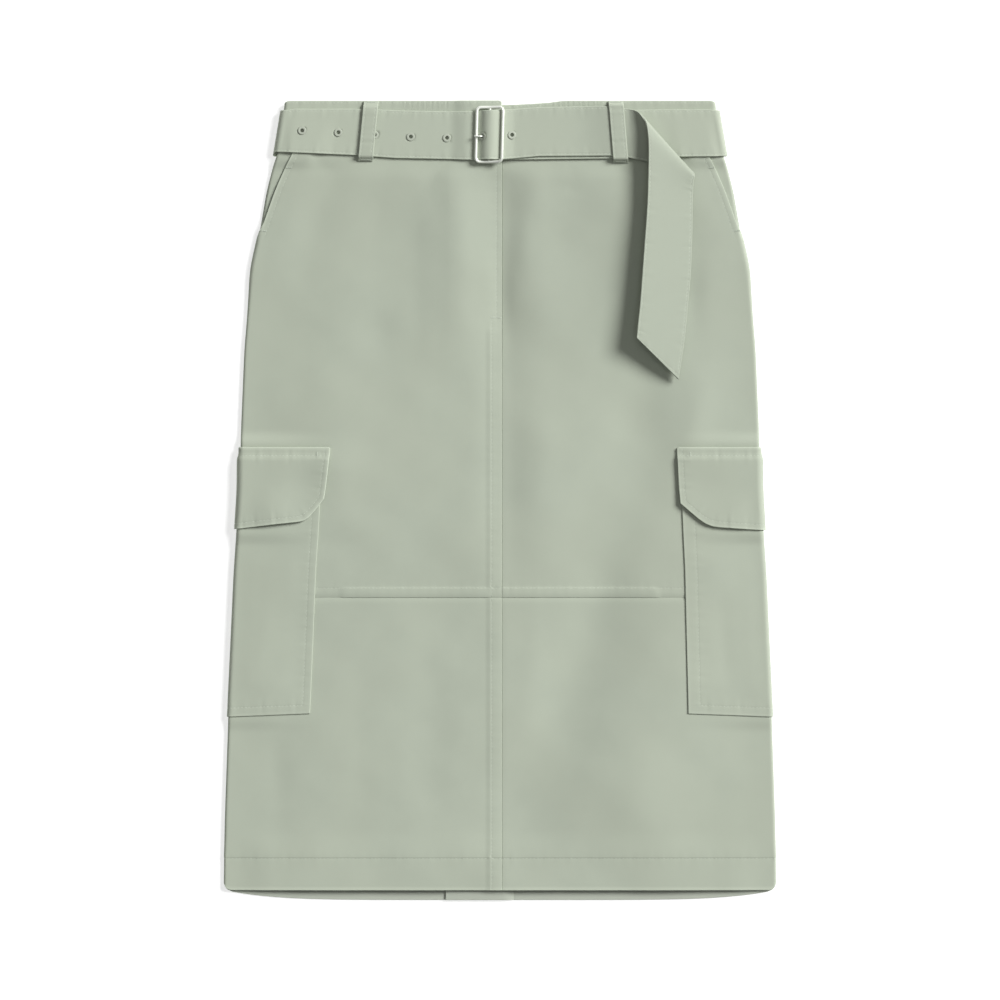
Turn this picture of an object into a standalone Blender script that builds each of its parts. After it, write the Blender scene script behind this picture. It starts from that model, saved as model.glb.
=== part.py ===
"""A cargo utility skirt with its own belt, laid flat on its back with the front panels on the back panels.

The skirt is a flattened tube of cloth. A point of the tube is given by
    turn   where it is round the tube: 0 at the centre front, +-0.25 at the side seams, +-0.5 behind
    down   how far it is below the top edge of the waistband
    out    how far it lies outside the tube's inner face
so that a pocket on a panel, or a belt on a waistband, is the same surface moved out.
Units are metres. +X is towards the wearer's left, +Y towards the waist, +Z up from the table.
"""

import math
from collections import namedtuple

import bmesh
import bpy
from mathutils import Matrix, Vector

# ---------------------------------------------------------------- driving sizes
FRONT_LENGTH = 0.7097  # waistband's top edge to the front hem
BACK_DROP = 0.0090  # how much further down the back hem lies
TOP_Y = (FRONT_LENGTH + BACK_DROP) / 2

SEAM = 0.0003  # gap between pieces that are sewn together or lie on each other
CLOTH = 0.0012  # one layer of twill
WAISTBAND = 0.0016
FLAP = 0.0016
STRAP = 0.0018  # belt strap
LOOP = 0.0012
LAP = CLOTH + SEAM  # what one layer under a panel lifts it by

FOLD_RADIUS = 0.0012  # inside of the side folds
FOLD_ARC = math.pi / 2 * (FOLD_RADIUS + CLOTH / 2)  # cloth from the start of a side fold to its seam
REST_GAP = 2 * FOLD_RADIUS  # air between front and back
HEM_GAP = 0.0034  # and at the hem

WAIST_SEAM = 0.0450
SIDE = 0.25  # turn of the side seams
CENTRE_ZONE = 0.045  # nearer than this to the centre line, turn is a plain distance from it
SIDE_ZONE = 0.105  # nearer than this to a side seam, turn is a plain distance from the seam
CENTRE_SHIFT = 0.0018  # the centre front line lies this far to the wearer's left

Outline = namedtuple("Outline", "down half_width")
OUTLINE = [
    Outline(0.0000, 0.1928),
    Outline(0.0450, 0.1986),
    Outline(0.0540, 0.2028),
    Outline(0.0800, 0.2097),
    Outline(0.1160, 0.2158),
    Outline(0.1340, 0.2198),
    Outline(0.1520, 0.2238),
    Outline(0.1700, 0.2254),
    Outline(0.1880, 0.2270),
    Outline(0.2240, 0.2300),
    Outline(0.2960, 0.2330),
    Outline(0.3500, 0.2334),
    Outline(0.3860, 0.2356),
    Outline(0.4220, 0.2382),
    Outline(0.4940, 0.2415),
    Outline(0.5550, 0.2444),
    Outline(0.6380, 0.2473),
    Outline(0.7010, 0.2488),
    Outline(0.7200, 0.2488),
]

# the largest soft folds of the front, each a ridge or a trough along a line
Fold = namedtuple("Fold", "x0 down0 x1 down1 spread height")
FOLDS = [
    Fold(-0.034, 0.118, -0.014, 0.219, 0.026, 0.0009),
    Fold(-0.086, 0.121, -0.068, 0.206, 0.024, -0.0006),
    Fold(0.092, 0.206, 0.054, 0.377, 0.034, 0.0008),
    Fold(0.150, 0.260, 0.126, 0.440, 0.030, -0.0008),
    Fold(0.126, 0.455, 0.072, 0.620, 0.034, -0.0008),
    Fold(-0.146, 0.460, -0.122, 0.640, 0.032, 0.0008),
]

# levels that the panels' rows lie on; every lift of the cloth starts and ends on one of them
BELOW_WAIST_ROWS = (WAIST_SEAM + SEAM, 0.0515, 0.0560, 0.0635, 0.085, 0.110)
HIP_ROWS = (0.118, 0.1245, 0.136, 0.148, 0.170, 0.197, 0.212, 0.240, 0.270, 0.297)
FLAP_ROWS_UNDER = (0.309, 0.345, 0.388, 0.400)
CROSS_ROWS = (0.420, 0.4365, 0.4385)
LOWER_ROWS = (0.480, 0.515, 0.5555, 0.5675, 0.600, 0.630, 0.655)
BACK_HIP_ROWS = (0.136, 0.170, 0.240, 0.297)
BACK_LOWER_ROWS = (0.446, 0.500, 0.5555, 0.5675, 0.610, 0.655)
MIDDLE_TURNS = (0.070, 0.095, 0.120)  # columns of the front between the fly and the pockets
CROSS_SEAM = 0.4465  # seam across the front
CROSS_RIDGE = (0.4365, 0.4385)  # where the allowance starts that lifts the cloth above the cross seam
FRONT_RIDGE = (0.0105, 0.0125)  # and beside the centre front
RIDGE = 0.0005  # how high they stand
HEM_SPREAD = 0.655  # the front and back part a little from here to the hem
HEM_TOP = 0.6805  # top of the turned-up hem
HEM_STEP = 0.001  # the hem's second layer is reached within this
HEM_DEPTH_EXTRA = 0.0006  # the hem's second layer thickens the wall inwards
HEM_CORNER = 0.0075  # rounding of the hem's corners at the side folds
HEM_CURVE = 6  # power of the back hem's curve: level in the middle, turning up at the sides

# p is the distance from the side seam, the same on the front and the back
FOLD_P = (FOLD_ARC, FOLD_ARC / 2, SEAM / 2)  # the columns round a side fold
NEAR_SIDE = (0.045, 0.012)  # p of the columns between a pocket's edge and the side fold
ZONE_FULL, ZONE_END = 0.0830, 0.0985  # p where the pockets' lift of the panels ends

# ---------------------------------------------------------------- cargo pockets and flaps
POCKET_TOP = 0.3250
POCKET_BOTTOM_EDGE = 0.5508  # at the pocket's upright edge
POCKET_BOTTOM_SIDE = 0.5538  # on the side fold
POCKET_ROWS = (POCKET_TOP, 0.345, 0.388, 0.400, 0.420, CROSS_SEAM, 0.480, 0.515)
POCKET_HEM = 0.012
FLAP_ZONE = (0.309, 0.388)
POCKET_ZONE = (0.309, 0.5555)
ZONE_RAMP = 0.012

FlapCut = namedtuple("FlapCut", "top_p corner_p corner_down chamfer_p chamfer_down side_down pocket_p")
FLAP_TOP = 0.3114
FLAP_STEP = (0.3160, 0.3235)  # the flap climbs on to the pocket's top edge between these
FLAP_ROWS = (FLAP_TOP, *FLAP_STEP, 0.3400, 0.3560)
FLAP_CUTS = {
    "right": FlapCut(0.0815, 0.0765, 0.3578, 0.0620, 0.3780, 0.3843, 0.0758),
    "left": FlapCut(0.0750, 0.0728, 0.3620, 0.0500, 0.3830, 0.3860, 0.0745),
}
FLAP_CORNER = (0.0015, 0.0020)  # rounds the cut corner outwards: p and down
FLAP_LEAN = 0.004  # how far the columns lean from the flap's top to its cut corner
FLAP_SPRING = 0.0012  # how far a flap's free edge stands off the pocket
FLAP_SPRING_DOWN = (0.340, 0.384)
FLAP_SPRING_P = (0.004, 0.030)

# ---------------------------------------------------------------- hip pockets, fly and vent
SLANT_P, SLANT_END = 0.0145, 0.1245  # pocket mouth: p at the waist seam, and where it meets the side seam
FACING_UNDER = 0.014  # how far the hip facing goes in under the front
FACING_END = 0.133
FACING_SINK = 0.0007  # how far it drops back where the front closes over it
FACING_SINK_DOWN = (0.0635, 0.085)
FACING_LIFT_END = (0.136, 0.148)  # the front comes down again from the facing between these
FLY_UNDER = 0.028
FLY_END = 0.195
FLY_LIFT_END = (0.197, 0.212)
VENT_TOP = 0.525
VENT_UNDER = (0.016, 0.032, 0.049)  # columns of the vent's underlap beyond the centre back
VENT_ROOT = 0.012

# ---------------------------------------------------------------- waistband
BAND_DIP = 0.0038  # the left front's top edge dips this much where it goes under the right one
BAND_DIP_TURNS = (0.0, 0.030, 0.060, 0.085)
BAND_ROW = 0.0060
BAND_CORNER = (0.0018, 0.0025)  # rounding of the lapping end's upper corner: down and along

# ---------------------------------------------------------------- belt
BELT_SEAT = WAISTBAND + SEAM  # where the belt's inner face lies
BELT_THICKER = WAISTBAND + SEAM + STRAP - CLOTH  # how much thicker the waistband and belt are than a panel
BELT_LINE = 0.030  # how far down its middle is
BACK_EDGES = (0.0090, 0.0500)  # its edges on the back
BELT_END = 0.0515
BELT_RAMP = 0.012
BELOW_BELT = BELT_END + BELT_RAMP
MOUTH_LIFT = 0.0012  # how far the hip pocket's edge lifts the belt's lower edge
MOUTH_P = (0.052, 0.036, 0.012)  # p where that lift starts, is full, and starts to fall to the side fold
MOUTH_DOWN = 0.008
BELT_SLACK = 0.0012  # how far the belt stands off at the side folds
LAP_FULL, LAP_END = 0.030, 0.045  # turns where the fly and the lapped waistband lift what lies on them
RING_FIRST = 0.0020  # turn where the fixed end reaches the waistband
LAP_STEP = (0.0010, 0.0100)  # turns where what lies on the lapping end comes down past it

BeltEdge = namedtuple("BeltEdge", "x top bottom")
RING_EDGES = [
    BeltEdge(-0.2300, 0.0090, 0.0500),
    BeltEdge(-0.2030, 0.0100, 0.0460),
    BeltEdge(-0.1880, 0.0076, 0.0468),
    BeltEdge(-0.1260, 0.0076, 0.0494),
    BeltEdge(-0.0900, 0.0092, 0.0520),
    BeltEdge(-0.0450, 0.0100, 0.0530),
    BeltEdge(-0.0270, 0.0098, 0.0538),
    BeltEdge(0.0040, 0.0090, 0.0536),
    BeltEdge(0.0950, 0.0090, 0.0524),
    BeltEdge(0.1500, 0.0081, 0.0510),
    BeltEdge(0.1900, 0.0080, 0.0505),
    BeltEdge(0.2030, 0.0100, 0.0495),
    BeltEdge(0.2300, 0.0090, 0.0500),
]
OVER_EDGES = [
    BeltEdge(-0.0270, 0.0098, 0.0538),
    BeltEdge(0.0040, 0.0087, 0.0534),
    BeltEdge(0.0350, 0.0063, 0.0504),
    BeltEdge(0.0950, 0.0052, 0.0500),
    BeltEdge(0.1120, 0.0068, 0.0512),
]

OVER_X = (0.0110, 0.040, 0.075, 0.094, 0.107)  # sections of the second layer

# the free end: each row is a straight line across the strap, from its upper edge to its lower one,
# and z is the middle of its thickness
Ruling = namedtuple("Ruling", "x_a down_a z_a x_b down_b z_b")
TAIL_RULINGS = [
    Ruling(0.1150, 0.0076, 0.0110, 0.1190, 0.0526, 0.0110),
    Ruling(0.1186, 0.0084, 0.0122, 0.1340, 0.0555, 0.0111),
    Ruling(0.1218, 0.0095, 0.0142, 0.1485, 0.0585, 0.0117),
    Ruling(0.1252, 0.0117, 0.0168, 0.1652, 0.0620, 0.0125),
    Ruling(0.1278, 0.0153, 0.0194, 0.1722, 0.0644, 0.0128),
    Ruling(0.1300, 0.0184, 0.0208, 0.1744, 0.0660, 0.0134),
    Ruling(0.1316, 0.0240, 0.0222, 0.1752, 0.0676, 0.0143),
    Ruling(0.1325, 0.0320, 0.0232, 0.1746, 0.0692, 0.0150),
    Ruling(0.1329, 0.0440, 0.0238, 0.1736, 0.0715, 0.0150),
    Ruling(0.1327, 0.0576, 0.0242, 0.1732, 0.0755, 0.0144),
    Ruling(0.1323, 0.0720, 0.0245, 0.1730, 0.0815, 0.0138),
    Ruling(0.1319, 0.0880, 0.0249, 0.1728, 0.0920, 0.0134),
    Ruling(0.1307, 0.1080, 0.0252, 0.1726, 0.1110, 0.0132),
    Ruling(0.1290, 0.1300, 0.0255, 0.1721, 0.1330, 0.0131),
    Ruling(0.1272, 0.1550, 0.0257, 0.1710, 0.1585, 0.0130),
    Ruling(0.1252, 0.1820, 0.0258, 0.1683, 0.1860, 0.0130),
    Ruling(0.1229, 0.2040, 0.0258, 0.1660, 0.2120, 0.0130),
    Ruling(0.1223, 0.2105, 0.0258, 0.1628, 0.2340, 0.0130),
    Ruling(0.1220, 0.2137, 0.0258, 0.1600, 0.2510, 0.0130),
]

# ---------------------------------------------------------------- buckle and eyelets
WIRE = 0.0014  # radius of the frame's wire
BAR = 0.0011
PRONG = 0.0008
WIRE_SIDES = 8
BUCKLE_LEFT, BUCKLE_RIGHT = -0.0212, 0.0022  # the frame's uprights, at the wire's middle
BUCKLE_TOP, BUCKLE_BOTTOM = 0.0067, 0.0555
BUCKLE_CORNER = 0.0035
BUCKLE_LEAN = 0.026  # turn from upright
FRAME_SIDES = (0.33, 0.67)  # points on the frame's short sides, as shares of their length
BAR_X = (BUCKLE_LEFT + BUCKLE_RIGHT) / 2
LEFT_OUT, RIGHT_OUT, FRAME_BOW = 0.0076, 0.0094, 0.0017
BAR_OUT = (LEFT_OUT + RIGHT_OUT) / 2 - FRAME_BOW
CURL = 0.0010  # the strap is thinned where it is turned round the bar
CURL_ANGLES = (55, 90, 130, 175, 220, 265)
HOOK_ANGLES = (30, -10, -50, -90, -130, -165)  # the prong's turn round the bar

Spot = namedtuple("Spot", "x out")  # a place in the level section through the buckle
# the prong from the bar, up through the eyelet, to its tip on the left upright
PRONG_ROUTE = [
    Spot(-0.0134, 0.0066),
    Spot(-0.0147, 0.0077),
    Spot(-0.0160, 0.0093),
    Spot(-0.0174, 0.0102),
    Spot(-0.0194, 0.0105),
    Spot(-0.0214, 0.0104),
    Spot(-0.0230, 0.0101),
]
# the strap's inner face where it climbs through the buckle
CLIMB = [
    Spot(-0.0300, 0.0038),
    Spot(-0.0245, 0.0038),
    Spot(-0.0200, 0.0041),
    Spot(-0.0165, 0.0060),
    Spot(-0.0128, 0.0087),
    Spot(BAR_X, BAR_OUT + BAR + 2 * SEAM + CURL),
    Spot(-0.0062, 0.0090),
    Spot(-0.0025, 0.0070),
    Spot(0.0008, 0.0060),
    Spot(0.0050, 0.0059),
]
RING_START = Spot(-0.0045, 0.0038)  # where the fixed end comes out from under the bar
PRONG_SLOT = (Spot(-0.0130, 0.0034), Spot(-0.0060, 0.0082))  # low and high corner of the slot for the prong
PRONG_SLOT_HALF = 0.0017

EYELET_PITCH = 0.0325
EYELET_IN_USE = -0.0151
EYELET_FLANGE, EYELET_BORE, EYELET_BARREL = 0.0037, 0.0017, 0.0021
EYELET_HOLE = 0.0024
EYELET_ROUND = 0.0006  # rounding of the flange
EYELET_TOP = 0.0009  # how far an eyelet stands off the strap
EYELET_SIDES = 12
HOLE_DEPTH, SLOPING_HOLE_DEPTHS = 0.0021, {0: 0.0036, 1: 0.0028}
# the strap's inner face on both sides of the eyelets that lean with it
EYELET_SEATS = {0: (CLIMB[3], CLIMB[4]), 1: (Spot(0.0069, 0.0048), Spot(0.0143, 0.0040))}
# how far down each eyelet is, by its steps along the strap from the one in use
EYELET_DOWN = {-5: 0.0272, -4: 0.0289, -3: 0.0310, -2: 0.0328, -1: 0.0338, 0: 0.0328, 1: 0.0314}

# ---------------------------------------------------------------- belt loops
# bottom is the loop's lower end, belt_top and belt_bottom are the belt's edges there, and extra is the
# thickness of what lies on the belt's first layer
LoopSpot = namedtuple("LoopSpot", "x_top x_bottom bottom belt_top belt_bottom extra")
LOOP_WIDTH = 0.0135
LOOP_CLEAR = 0.0007
LOOP_FOOT = 0.0010
FRONT_LOOPS = {
    "front_right": LoopSpot(-0.1156, -0.1208, 0.0545, 0.0075, 0.0503, EYELET_TOP),
    "front_left": LoopSpot(0.1039, 0.1085, 0.0562, 0.0049, 0.0527, STRAP),
}
SIDE_BACK = SIDE - (ZONE_FULL + ZONE_END) / 2  # turn from the centre back to the loops beside the middle one
BACK_LOOPS = {"back_right": -SIDE_BACK, "back_centre": 0.0, "back_left": SIDE_BACK}
BACK_LOOP_END = 0.0560
LOOP_SEWN = (0.0006, 0.0018)  # the strip that is sewn to the waistband's top
LOOP_REACH = LOOP_WIDTH / 2 + 0.001
LOOP_LIFT_RAMP = 0.009
BACK_MIDDLE = 0.080  # the back's column half way between its loops

# ---------------------------------------------------------------- finishes
Finish = namedtuple("Finish", "colour roughness metallic")
TWILL = Finish((0.440, 0.485, 0.395), 0.85, 0.0)
BELT_TWILL = Finish((0.470, 0.520, 0.420), 0.82, 0.0)
STEEL = Finish((0.780, 0.790, 0.740), 0.30, 1.0)
SMOOTH_ANGLE = math.radians(35)  # edges sharper than this stay sharp


# ---------------------------------------------------------------- plain helpers
def rise(value, start, end):
    """0 at start, 1 at end, straight between; end may be below start."""
    return min(1.0, max(0.0, (value - start) / (end - start)))


def smooth(t):
    """Eases a rise at both ends."""
    return t * t * (3 - 2 * t)


def span(value, low, high, ramp):
    """1 from low to high, falling to 0 over ramp on both sides."""
    return rise(value, low - ramp, low) * rise(value, high + ramp, high)


def lookup(rows, key, column):
    """A column of a table, straight between rows; the first column is the key."""
    if key <= rows[0][0]:
        return getattr(rows[0], column)
    for low, high in zip(rows, rows[1:]):
        if key <= high[0]:
            t = (key - low[0]) / (high[0] - low[0])
            return getattr(low, column) * (1 - t) + getattr(high, column) * t
    return getattr(rows[-1], column)


# ---------------------------------------------------------------- the flattened tube
def fold_start(down):
    """Where the flat cloth ends and the side fold starts."""
    return lookup(OUTLINE, down, "half_width") - FOLD_RADIUS - CLOTH


def side_distance(x, down):
    """Distance in the cloth from the side seam."""
    return fold_start(down) + FOLD_ARC - abs(x)


def stack(x, down):
    """Thickness of what lies between the table and the tube's inner face, without the belt loops."""
    p = side_distance(x, down)
    pocket = rise(p, ZONE_END, ZONE_FULL)
    height = CLOTH
    height += BELT_THICKER * rise(down, BELOW_BELT, BELT_END)
    height += LAP * pocket * span(down, *POCKET_ZONE, ZONE_RAMP)
    height += (FLAP + SEAM) * pocket * span(down, *FLAP_ZONE, ZONE_RAMP)
    return height


def loop_lift(turn, down):
    """The back belt loops lie under the belt and lift what is above them."""
    from_centre = 2 * SIDE - abs(turn)
    over = 0.0
    for spot in (0.0, SIDE_BACK):
        over = max(over, span(from_centre, spot - LOOP_REACH, spot + LOOP_REACH, LOOP_LIFT_RAMP))
    return (LOOP + SEAM) * over * rise(down, BELOW_BELT, BACK_LOOP_END)


def soft_folds(x, down):
    """Height of the front's soft ridges and troughs."""
    total = 0.0
    for fold in FOLDS:
        along = Vector((fold.x1 - fold.x0, fold.down1 - fold.down0))
        here = Vector((x - fold.x0, down - fold.down0))
        t = here.dot(along) / along.length_squared
        aside = abs(here.x * along.y - here.y * along.x) / along.length
        total += fold.height * smooth(span(t, 0.25, 0.75, 0.45)) * smooth(rise(aside, fold.spread, 0.0))
    return total * rise(side_distance(x, down), ZONE_FULL, ZONE_END)


def inside_gap(x, down):
    """Air between the front and the back: wider at the hem, and wherever a soft fold lifts the front."""
    inward = rise(side_distance(x, down), *NEAR_SIDE[::-1])
    hem = (HEM_GAP - REST_GAP) * rise(down, HEM_SPREAD, HEM_TOP) * inward
    return REST_GAP + soft_folds(x, down) + hem


def cloth_distance(turn, down):
    """For a turn from -0.5 to 0.5: how far it is round the cloth from the centre line, and if it is on the
    back."""
    size = abs(turn)
    on_back = size > SIDE
    near = 2 * SIDE - size if on_back else size
    seam = fold_start(down) + FOLD_ARC
    if near >= SIDE - SIDE_ZONE:
        return seam - (SIDE - near), on_back
    if near <= CENTRE_ZONE:
        return near, on_back
    t = (near - CENTRE_ZONE) / (SIDE - SIDE_ZONE - CENTRE_ZONE)
    return CENTRE_ZONE * (1 - t) + (seam - SIDE_ZONE) * t, on_back


def turn_at(x, down):
    """The turn of the front's point at x."""
    size = abs(x)
    stretch_end = fold_start(down) + FOLD_ARC - SIDE_ZONE
    if size > stretch_end:
        size += SIDE - SIDE_ZONE - stretch_end
    elif size > CENTRE_ZONE:
        t = (size - CENTRE_ZONE) / (stretch_end - CENTRE_ZONE)
        size = CENTRE_ZONE + t * (SIDE - SIDE_ZONE - CENTRE_ZONE)
    return math.copysign(size, x)


def skin(turn, down, out):
    """The point of the tube at this turn, this far down and this far outside its inner face."""
    turn = (turn + 2 * SIDE) % (4 * SIDE) - 2 * SIDE
    side = -1.0 if turn < 0 else 1.0
    distance, on_back = cloth_distance(turn, down)
    start = fold_start(down)
    y = TOP_Y - down
    if distance <= start:
        shift = 0.0 if on_back else CENTRE_SHIFT * max(0.0, 1 - distance / CENTRE_ZONE)
        x = side * distance + shift
        if on_back:
            return Vector((x, y, stack(x, down) + loop_lift(turn, down) - out))
        return Vector((x, y, stack(x, down) + inside_gap(x, down) + out))
    angle = (distance - start) / FOLD_ARC * math.pi / 2
    if on_back:
        angle = math.pi - angle
    radius = FOLD_RADIUS + out
    centre_z = stack(start, down) + FOLD_RADIUS
    return Vector((side * (start + radius * math.sin(angle)), y, centre_z + radius * math.cos(angle)))


# ---------------------------------------------------------------- mesh making
def material(name, finish):
    made = bpy.data.materials.new(name)
    made.use_nodes = True
    shader = made.node_tree.nodes["Principled BSDF"]
    shader.inputs["Base Color"].default_value = (*finish.colour, 1.0)
    shader.inputs["Roughness"].default_value = finish.roughness
    shader.inputs["Metallic"].default_value = finish.metallic
    return made


def add_object(name, work, finish):
    """Makes an object of a bmesh, with a material of its own, and frees the bmesh."""
    bmesh.ops.recalc_face_normals(work, faces=work.faces)
    mesh = bpy.data.meshes.new(name)
    work.to_mesh(mesh)
    work.free()
    mesh.materials.append(material(f"{name}_finish", finish))
    mesh.shade_smooth()
    mesh.set_sharp_from_angle(angle=SMOOTH_ANGLE)
    made = bpy.data.objects.new(name, mesh)
    bpy.context.scene.collection.objects.link(made)
    return made


def wall(name, outer, inner, finish):
    """A closed wall between two grids of points. A grid is a list of columns, which follow each other round
    the tube, and the points in a column go down."""
    work = bmesh.new()
    out = [[work.verts.new(p) for p in column] for column in outer]
    into = [[work.verts.new(p) for p in column] for column in inner]
    for i in range(len(out) - 1):
        for j in range(len(out[0]) - 1):
            work.faces.new((out[i][j], out[i][j + 1], out[i + 1][j + 1], out[i + 1][j]))
            work.faces.new((into[i][j], into[i + 1][j], into[i + 1][j + 1], into[i][j + 1]))
    around = rim(out), rim(into)
    count = len(around[0])
    for k in range(count):
        following = (k + 1) % count
        work.faces.new((around[0][k], around[0][following], around[1][following], around[1][k]))
    bmesh.ops.recalc_face_normals(work, faces=work.faces)
    bmesh.ops.triangulate(work, faces=work.faces, quad_method="FIXED")
    return add_object(name, work, finish)


def rim(grid):
    """The points round the edge of a grid, in order."""
    last = len(grid[0]) - 1
    bottom = [column[last] for column in grid]
    right = list(reversed(grid[-1]))[1:]
    top = [column[0] for column in reversed(grid)][1:]
    left = grid[0][1:-1]
    return bottom + right + top + left


def cloth_piece(name, spots, inner_out, outer_out, finish):
    """A wall that lies on the tube. spots is a grid of (turn, down), and the two functions give how far out
    its inner and outer faces are there."""
    outer = [[skin(turn, down, outer_out(turn, down)) for turn, down in column] for column in spots]
    inner = [[skin(turn, down, inner_out(turn, down)) for turn, down in column] for column in spots]
    return wall(name, outer, inner, finish)


def tube(name, path, radius, finish, across, closed=False):
    """A round wire along a path of points; across is a direction that the path never takes."""
    work = bmesh.new()
    count = len(path)
    turns = [2 * math.pi * (s + 0.5) / WIRE_SIDES for s in range(WIRE_SIDES)]
    rings = []
    for k, point in enumerate(path):
        before = path[(k - 1) % count] if closed or k > 0 else point
        after = path[(k + 1) % count] if closed or k < count - 1 else point
        ahead = (after - before).normalized()
        one = (across - ahead * across.dot(ahead)).normalized()
        other = ahead.cross(one)
        ring = [point + (one * math.cos(a) + other * math.sin(a)) * radius for a in turns]
        rings.append([work.verts.new(spot) for spot in ring])
    for k in range(count if closed else count - 1):
        here, there = rings[k], rings[(k + 1) % count]
        for s in range(WIRE_SIDES):
            t = (s + 1) % WIRE_SIDES
            work.faces.new((here[s], here[t], there[t], there[s]))
    if not closed:
        work.faces.new(rings[0])
        work.faces.new(rings[-1])
    return add_object(name, work, finish)


def hide_cutter(cutter):
    cutter.hide_render = True
    cutter.display_type = "WIRE"


def boolean(target, other, operation):
    step = target.modifiers.new(operation.lower(), "BOOLEAN")
    step.operation = operation
    step.object = other
    step.solver = "EXACT"
    hide_cutter(other)


# ---------------------------------------------------------------- panels
def hem_edge(turn, on_back):
    """How far down the hem is: its corners are rounded and the back one hangs lower in the middle."""
    x = abs(skin(turn, FRONT_LENGTH, CLOTH).x)
    half = lookup(OUTLINE, FRONT_LENGTH, "half_width")
    inset = min(1.0, max(0.0, (half - x) / HEM_CORNER))
    corner = HEM_CORNER * (1 - math.sqrt(max(0.0, 1 - (1 - inset) ** 2)))
    drop = BACK_DROP * (1 - (x / half) ** HEM_CURVE) if on_back else 0.0
    return FRONT_LENGTH - corner + drop


def hem_rows(turn, on_back):
    edge = hem_edge(turn, on_back)
    return [HEM_TOP, HEM_TOP + HEM_STEP, (HEM_TOP + edge) / 2, edge]


def hem_inside(down):
    return -HEM_DEPTH_EXTRA * rise(down, HEM_TOP, HEM_TOP + HEM_STEP)


def slant_p(down):
    """p of the hip pocket's mouth."""
    return max(SEAM / 2, SLANT_P * (SLANT_END - down) / (SLANT_END - WAIST_SEAM))


def facing_ramp(down):
    """p where the front starts to rise over the hip facing, and where it has risen."""
    inside = slant_p(down) + FACING_UNDER
    return inside + 0.012, inside + 0.001


def over_facing(turn, down):
    """Lift of the front where it lies over the hip facing."""
    return LAP * rise(SIDE - abs(turn), *facing_ramp(down)) * rise(down, *FACING_LIFT_END[::-1])


def over_fly(turn, down):
    """Lift of the right front where it lies over the fly's underlap."""
    if turn > 0:
        return 0.0
    return LAP * rise(-turn, LAP_END, LAP_FULL) * rise(down, *FLY_LIFT_END[::-1])


def seam_ridge(turn, down):
    """The seam allowance and top stitching stand up along the cross seam and the centre front."""
    if SIDE - abs(turn) < ZONE_END:
        return 0.0
    across = rise(down, *CROSS_RIDGE) if down <= CROSS_SEAM else 0.0
    upright = rise(-turn, *FRONT_RIDGE[::-1]) * rise(down, *FLY_LIFT_END) if turn < 0 else 0.0
    return RIDGE * max(across, upright)


def front_turns(side):
    """Turns of the front's columns from the centre line to where the pockets' lift ends."""
    near = (SEAM / 2, *FRONT_RIDGE, LAP_FULL) if side < 0 else (SEAM / 2, LAP_FULL)
    return near + (LAP_END, *MIDDLE_TURNS, SIDE - ZONE_END, SIDE - ZONE_FULL)


def mouth_turns(down):
    """Turns of the upper front's columns from there to the hip pocket's mouth, or below it to the side
    seam."""
    mouth = slant_p(down)
    return [SIDE - p for p in (*facing_ramp(down), mouth + FOLD_ARC, mouth + FOLD_ARC / 2, mouth)]


def signed(grid, side):
    """Puts a grid of the wearer's left side on the side asked for, its columns in order round the tube."""
    placed = [[(side * size, down) for size, down in column] for column in grid]
    return placed if side > 0 else placed[::-1]


def front_upper(name, side, finish):
    rows = BELOW_WAIST_ROWS + HIP_ROWS + FLAP_ROWS_UNDER + CROSS_ROWS + (CROSS_SEAM - SEAM / 2,)
    turns = [[*front_turns(side), *mouth_turns(down)] for down in rows]
    spots = [[(row[k], down) for row, down in zip(turns, rows)] for k in range(len(turns[0]))]

    def inner(turn, down):
        return over_facing(turn, down) + over_fly(turn, down)

    def outer(turn, down):
        return inner(turn, down) + CLOTH + seam_ridge(turn, down)

    cloth_piece(name, signed(spots, side), inner, outer, finish)


def front_lower(name, side, finish):
    rows = (CROSS_SEAM + SEAM / 2,) + LOWER_ROWS
    sizes = [*front_turns(side), *(SIDE - p for p in (*NEAR_SIDE, *FOLD_P))]
    spots = [[(size, down) for down in [*rows, *hem_rows(size, False)]] for size in sizes]

    def inner(turn, down):
        return hem_inside(down)

    def outer(turn, down):
        return CLOTH + seam_ridge(turn, down)

    cloth_piece(name, signed(spots, side), inner, outer, finish)


def back_turns():
    """Turns from the centre back, for columns on which the loops' and the pockets' lifts start and end."""
    loop = (SIDE_BACK - LOOP_REACH - LOOP_LIFT_RAMP, SIDE_BACK - LOOP_REACH)
    loop += (SIDE_BACK + LOOP_REACH, SIDE_BACK + LOOP_REACH + LOOP_LIFT_RAMP)
    centre = (0.0, LOOP_REACH, LOOP_REACH + LOOP_LIFT_RAMP, BACK_MIDDLE)
    return (*centre, *loop, *(SIDE - p for p in NEAR_SIDE))


def back_panel(name, side, finish):
    sizes = [2 * SIDE - size for size in (SEAM / 2, *back_turns()[1:], *(SIDE - p for p in FOLD_P))]
    rows = BELOW_WAIST_ROWS + BACK_HIP_ROWS + FLAP_ROWS_UNDER + BACK_LOWER_ROWS
    spots = [[(size, down) for down in [*rows, *hem_rows(size, True)]] for size in reversed(sizes)]

    def inner(turn, down):
        return hem_inside(down)

    def outer(turn, down):
        return CLOTH

    cloth_piece(name, signed(spots, side), inner, outer, finish)


def hip_facing(name, side, finish):
    """The piece that shows inside the hip pocket's mouth, from under the front to the side seam."""
    rows = [down for down in BELOW_WAIST_ROWS + HIP_ROWS if down < FACING_END] + [FACING_END]
    spots = [[(SIDE - slant_p(down) - FACING_UNDER, down) for down in rows]]
    spots += [[(SIDE - p, down) for down in rows] for p in FOLD_P]

    def inner(turn, down):
        return -FACING_SINK * rise(down, *FACING_SINK_DOWN)

    cloth_piece(name, signed(spots, side), inner, lambda turn, down: inner(turn, down) + CLOTH, finish)


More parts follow.
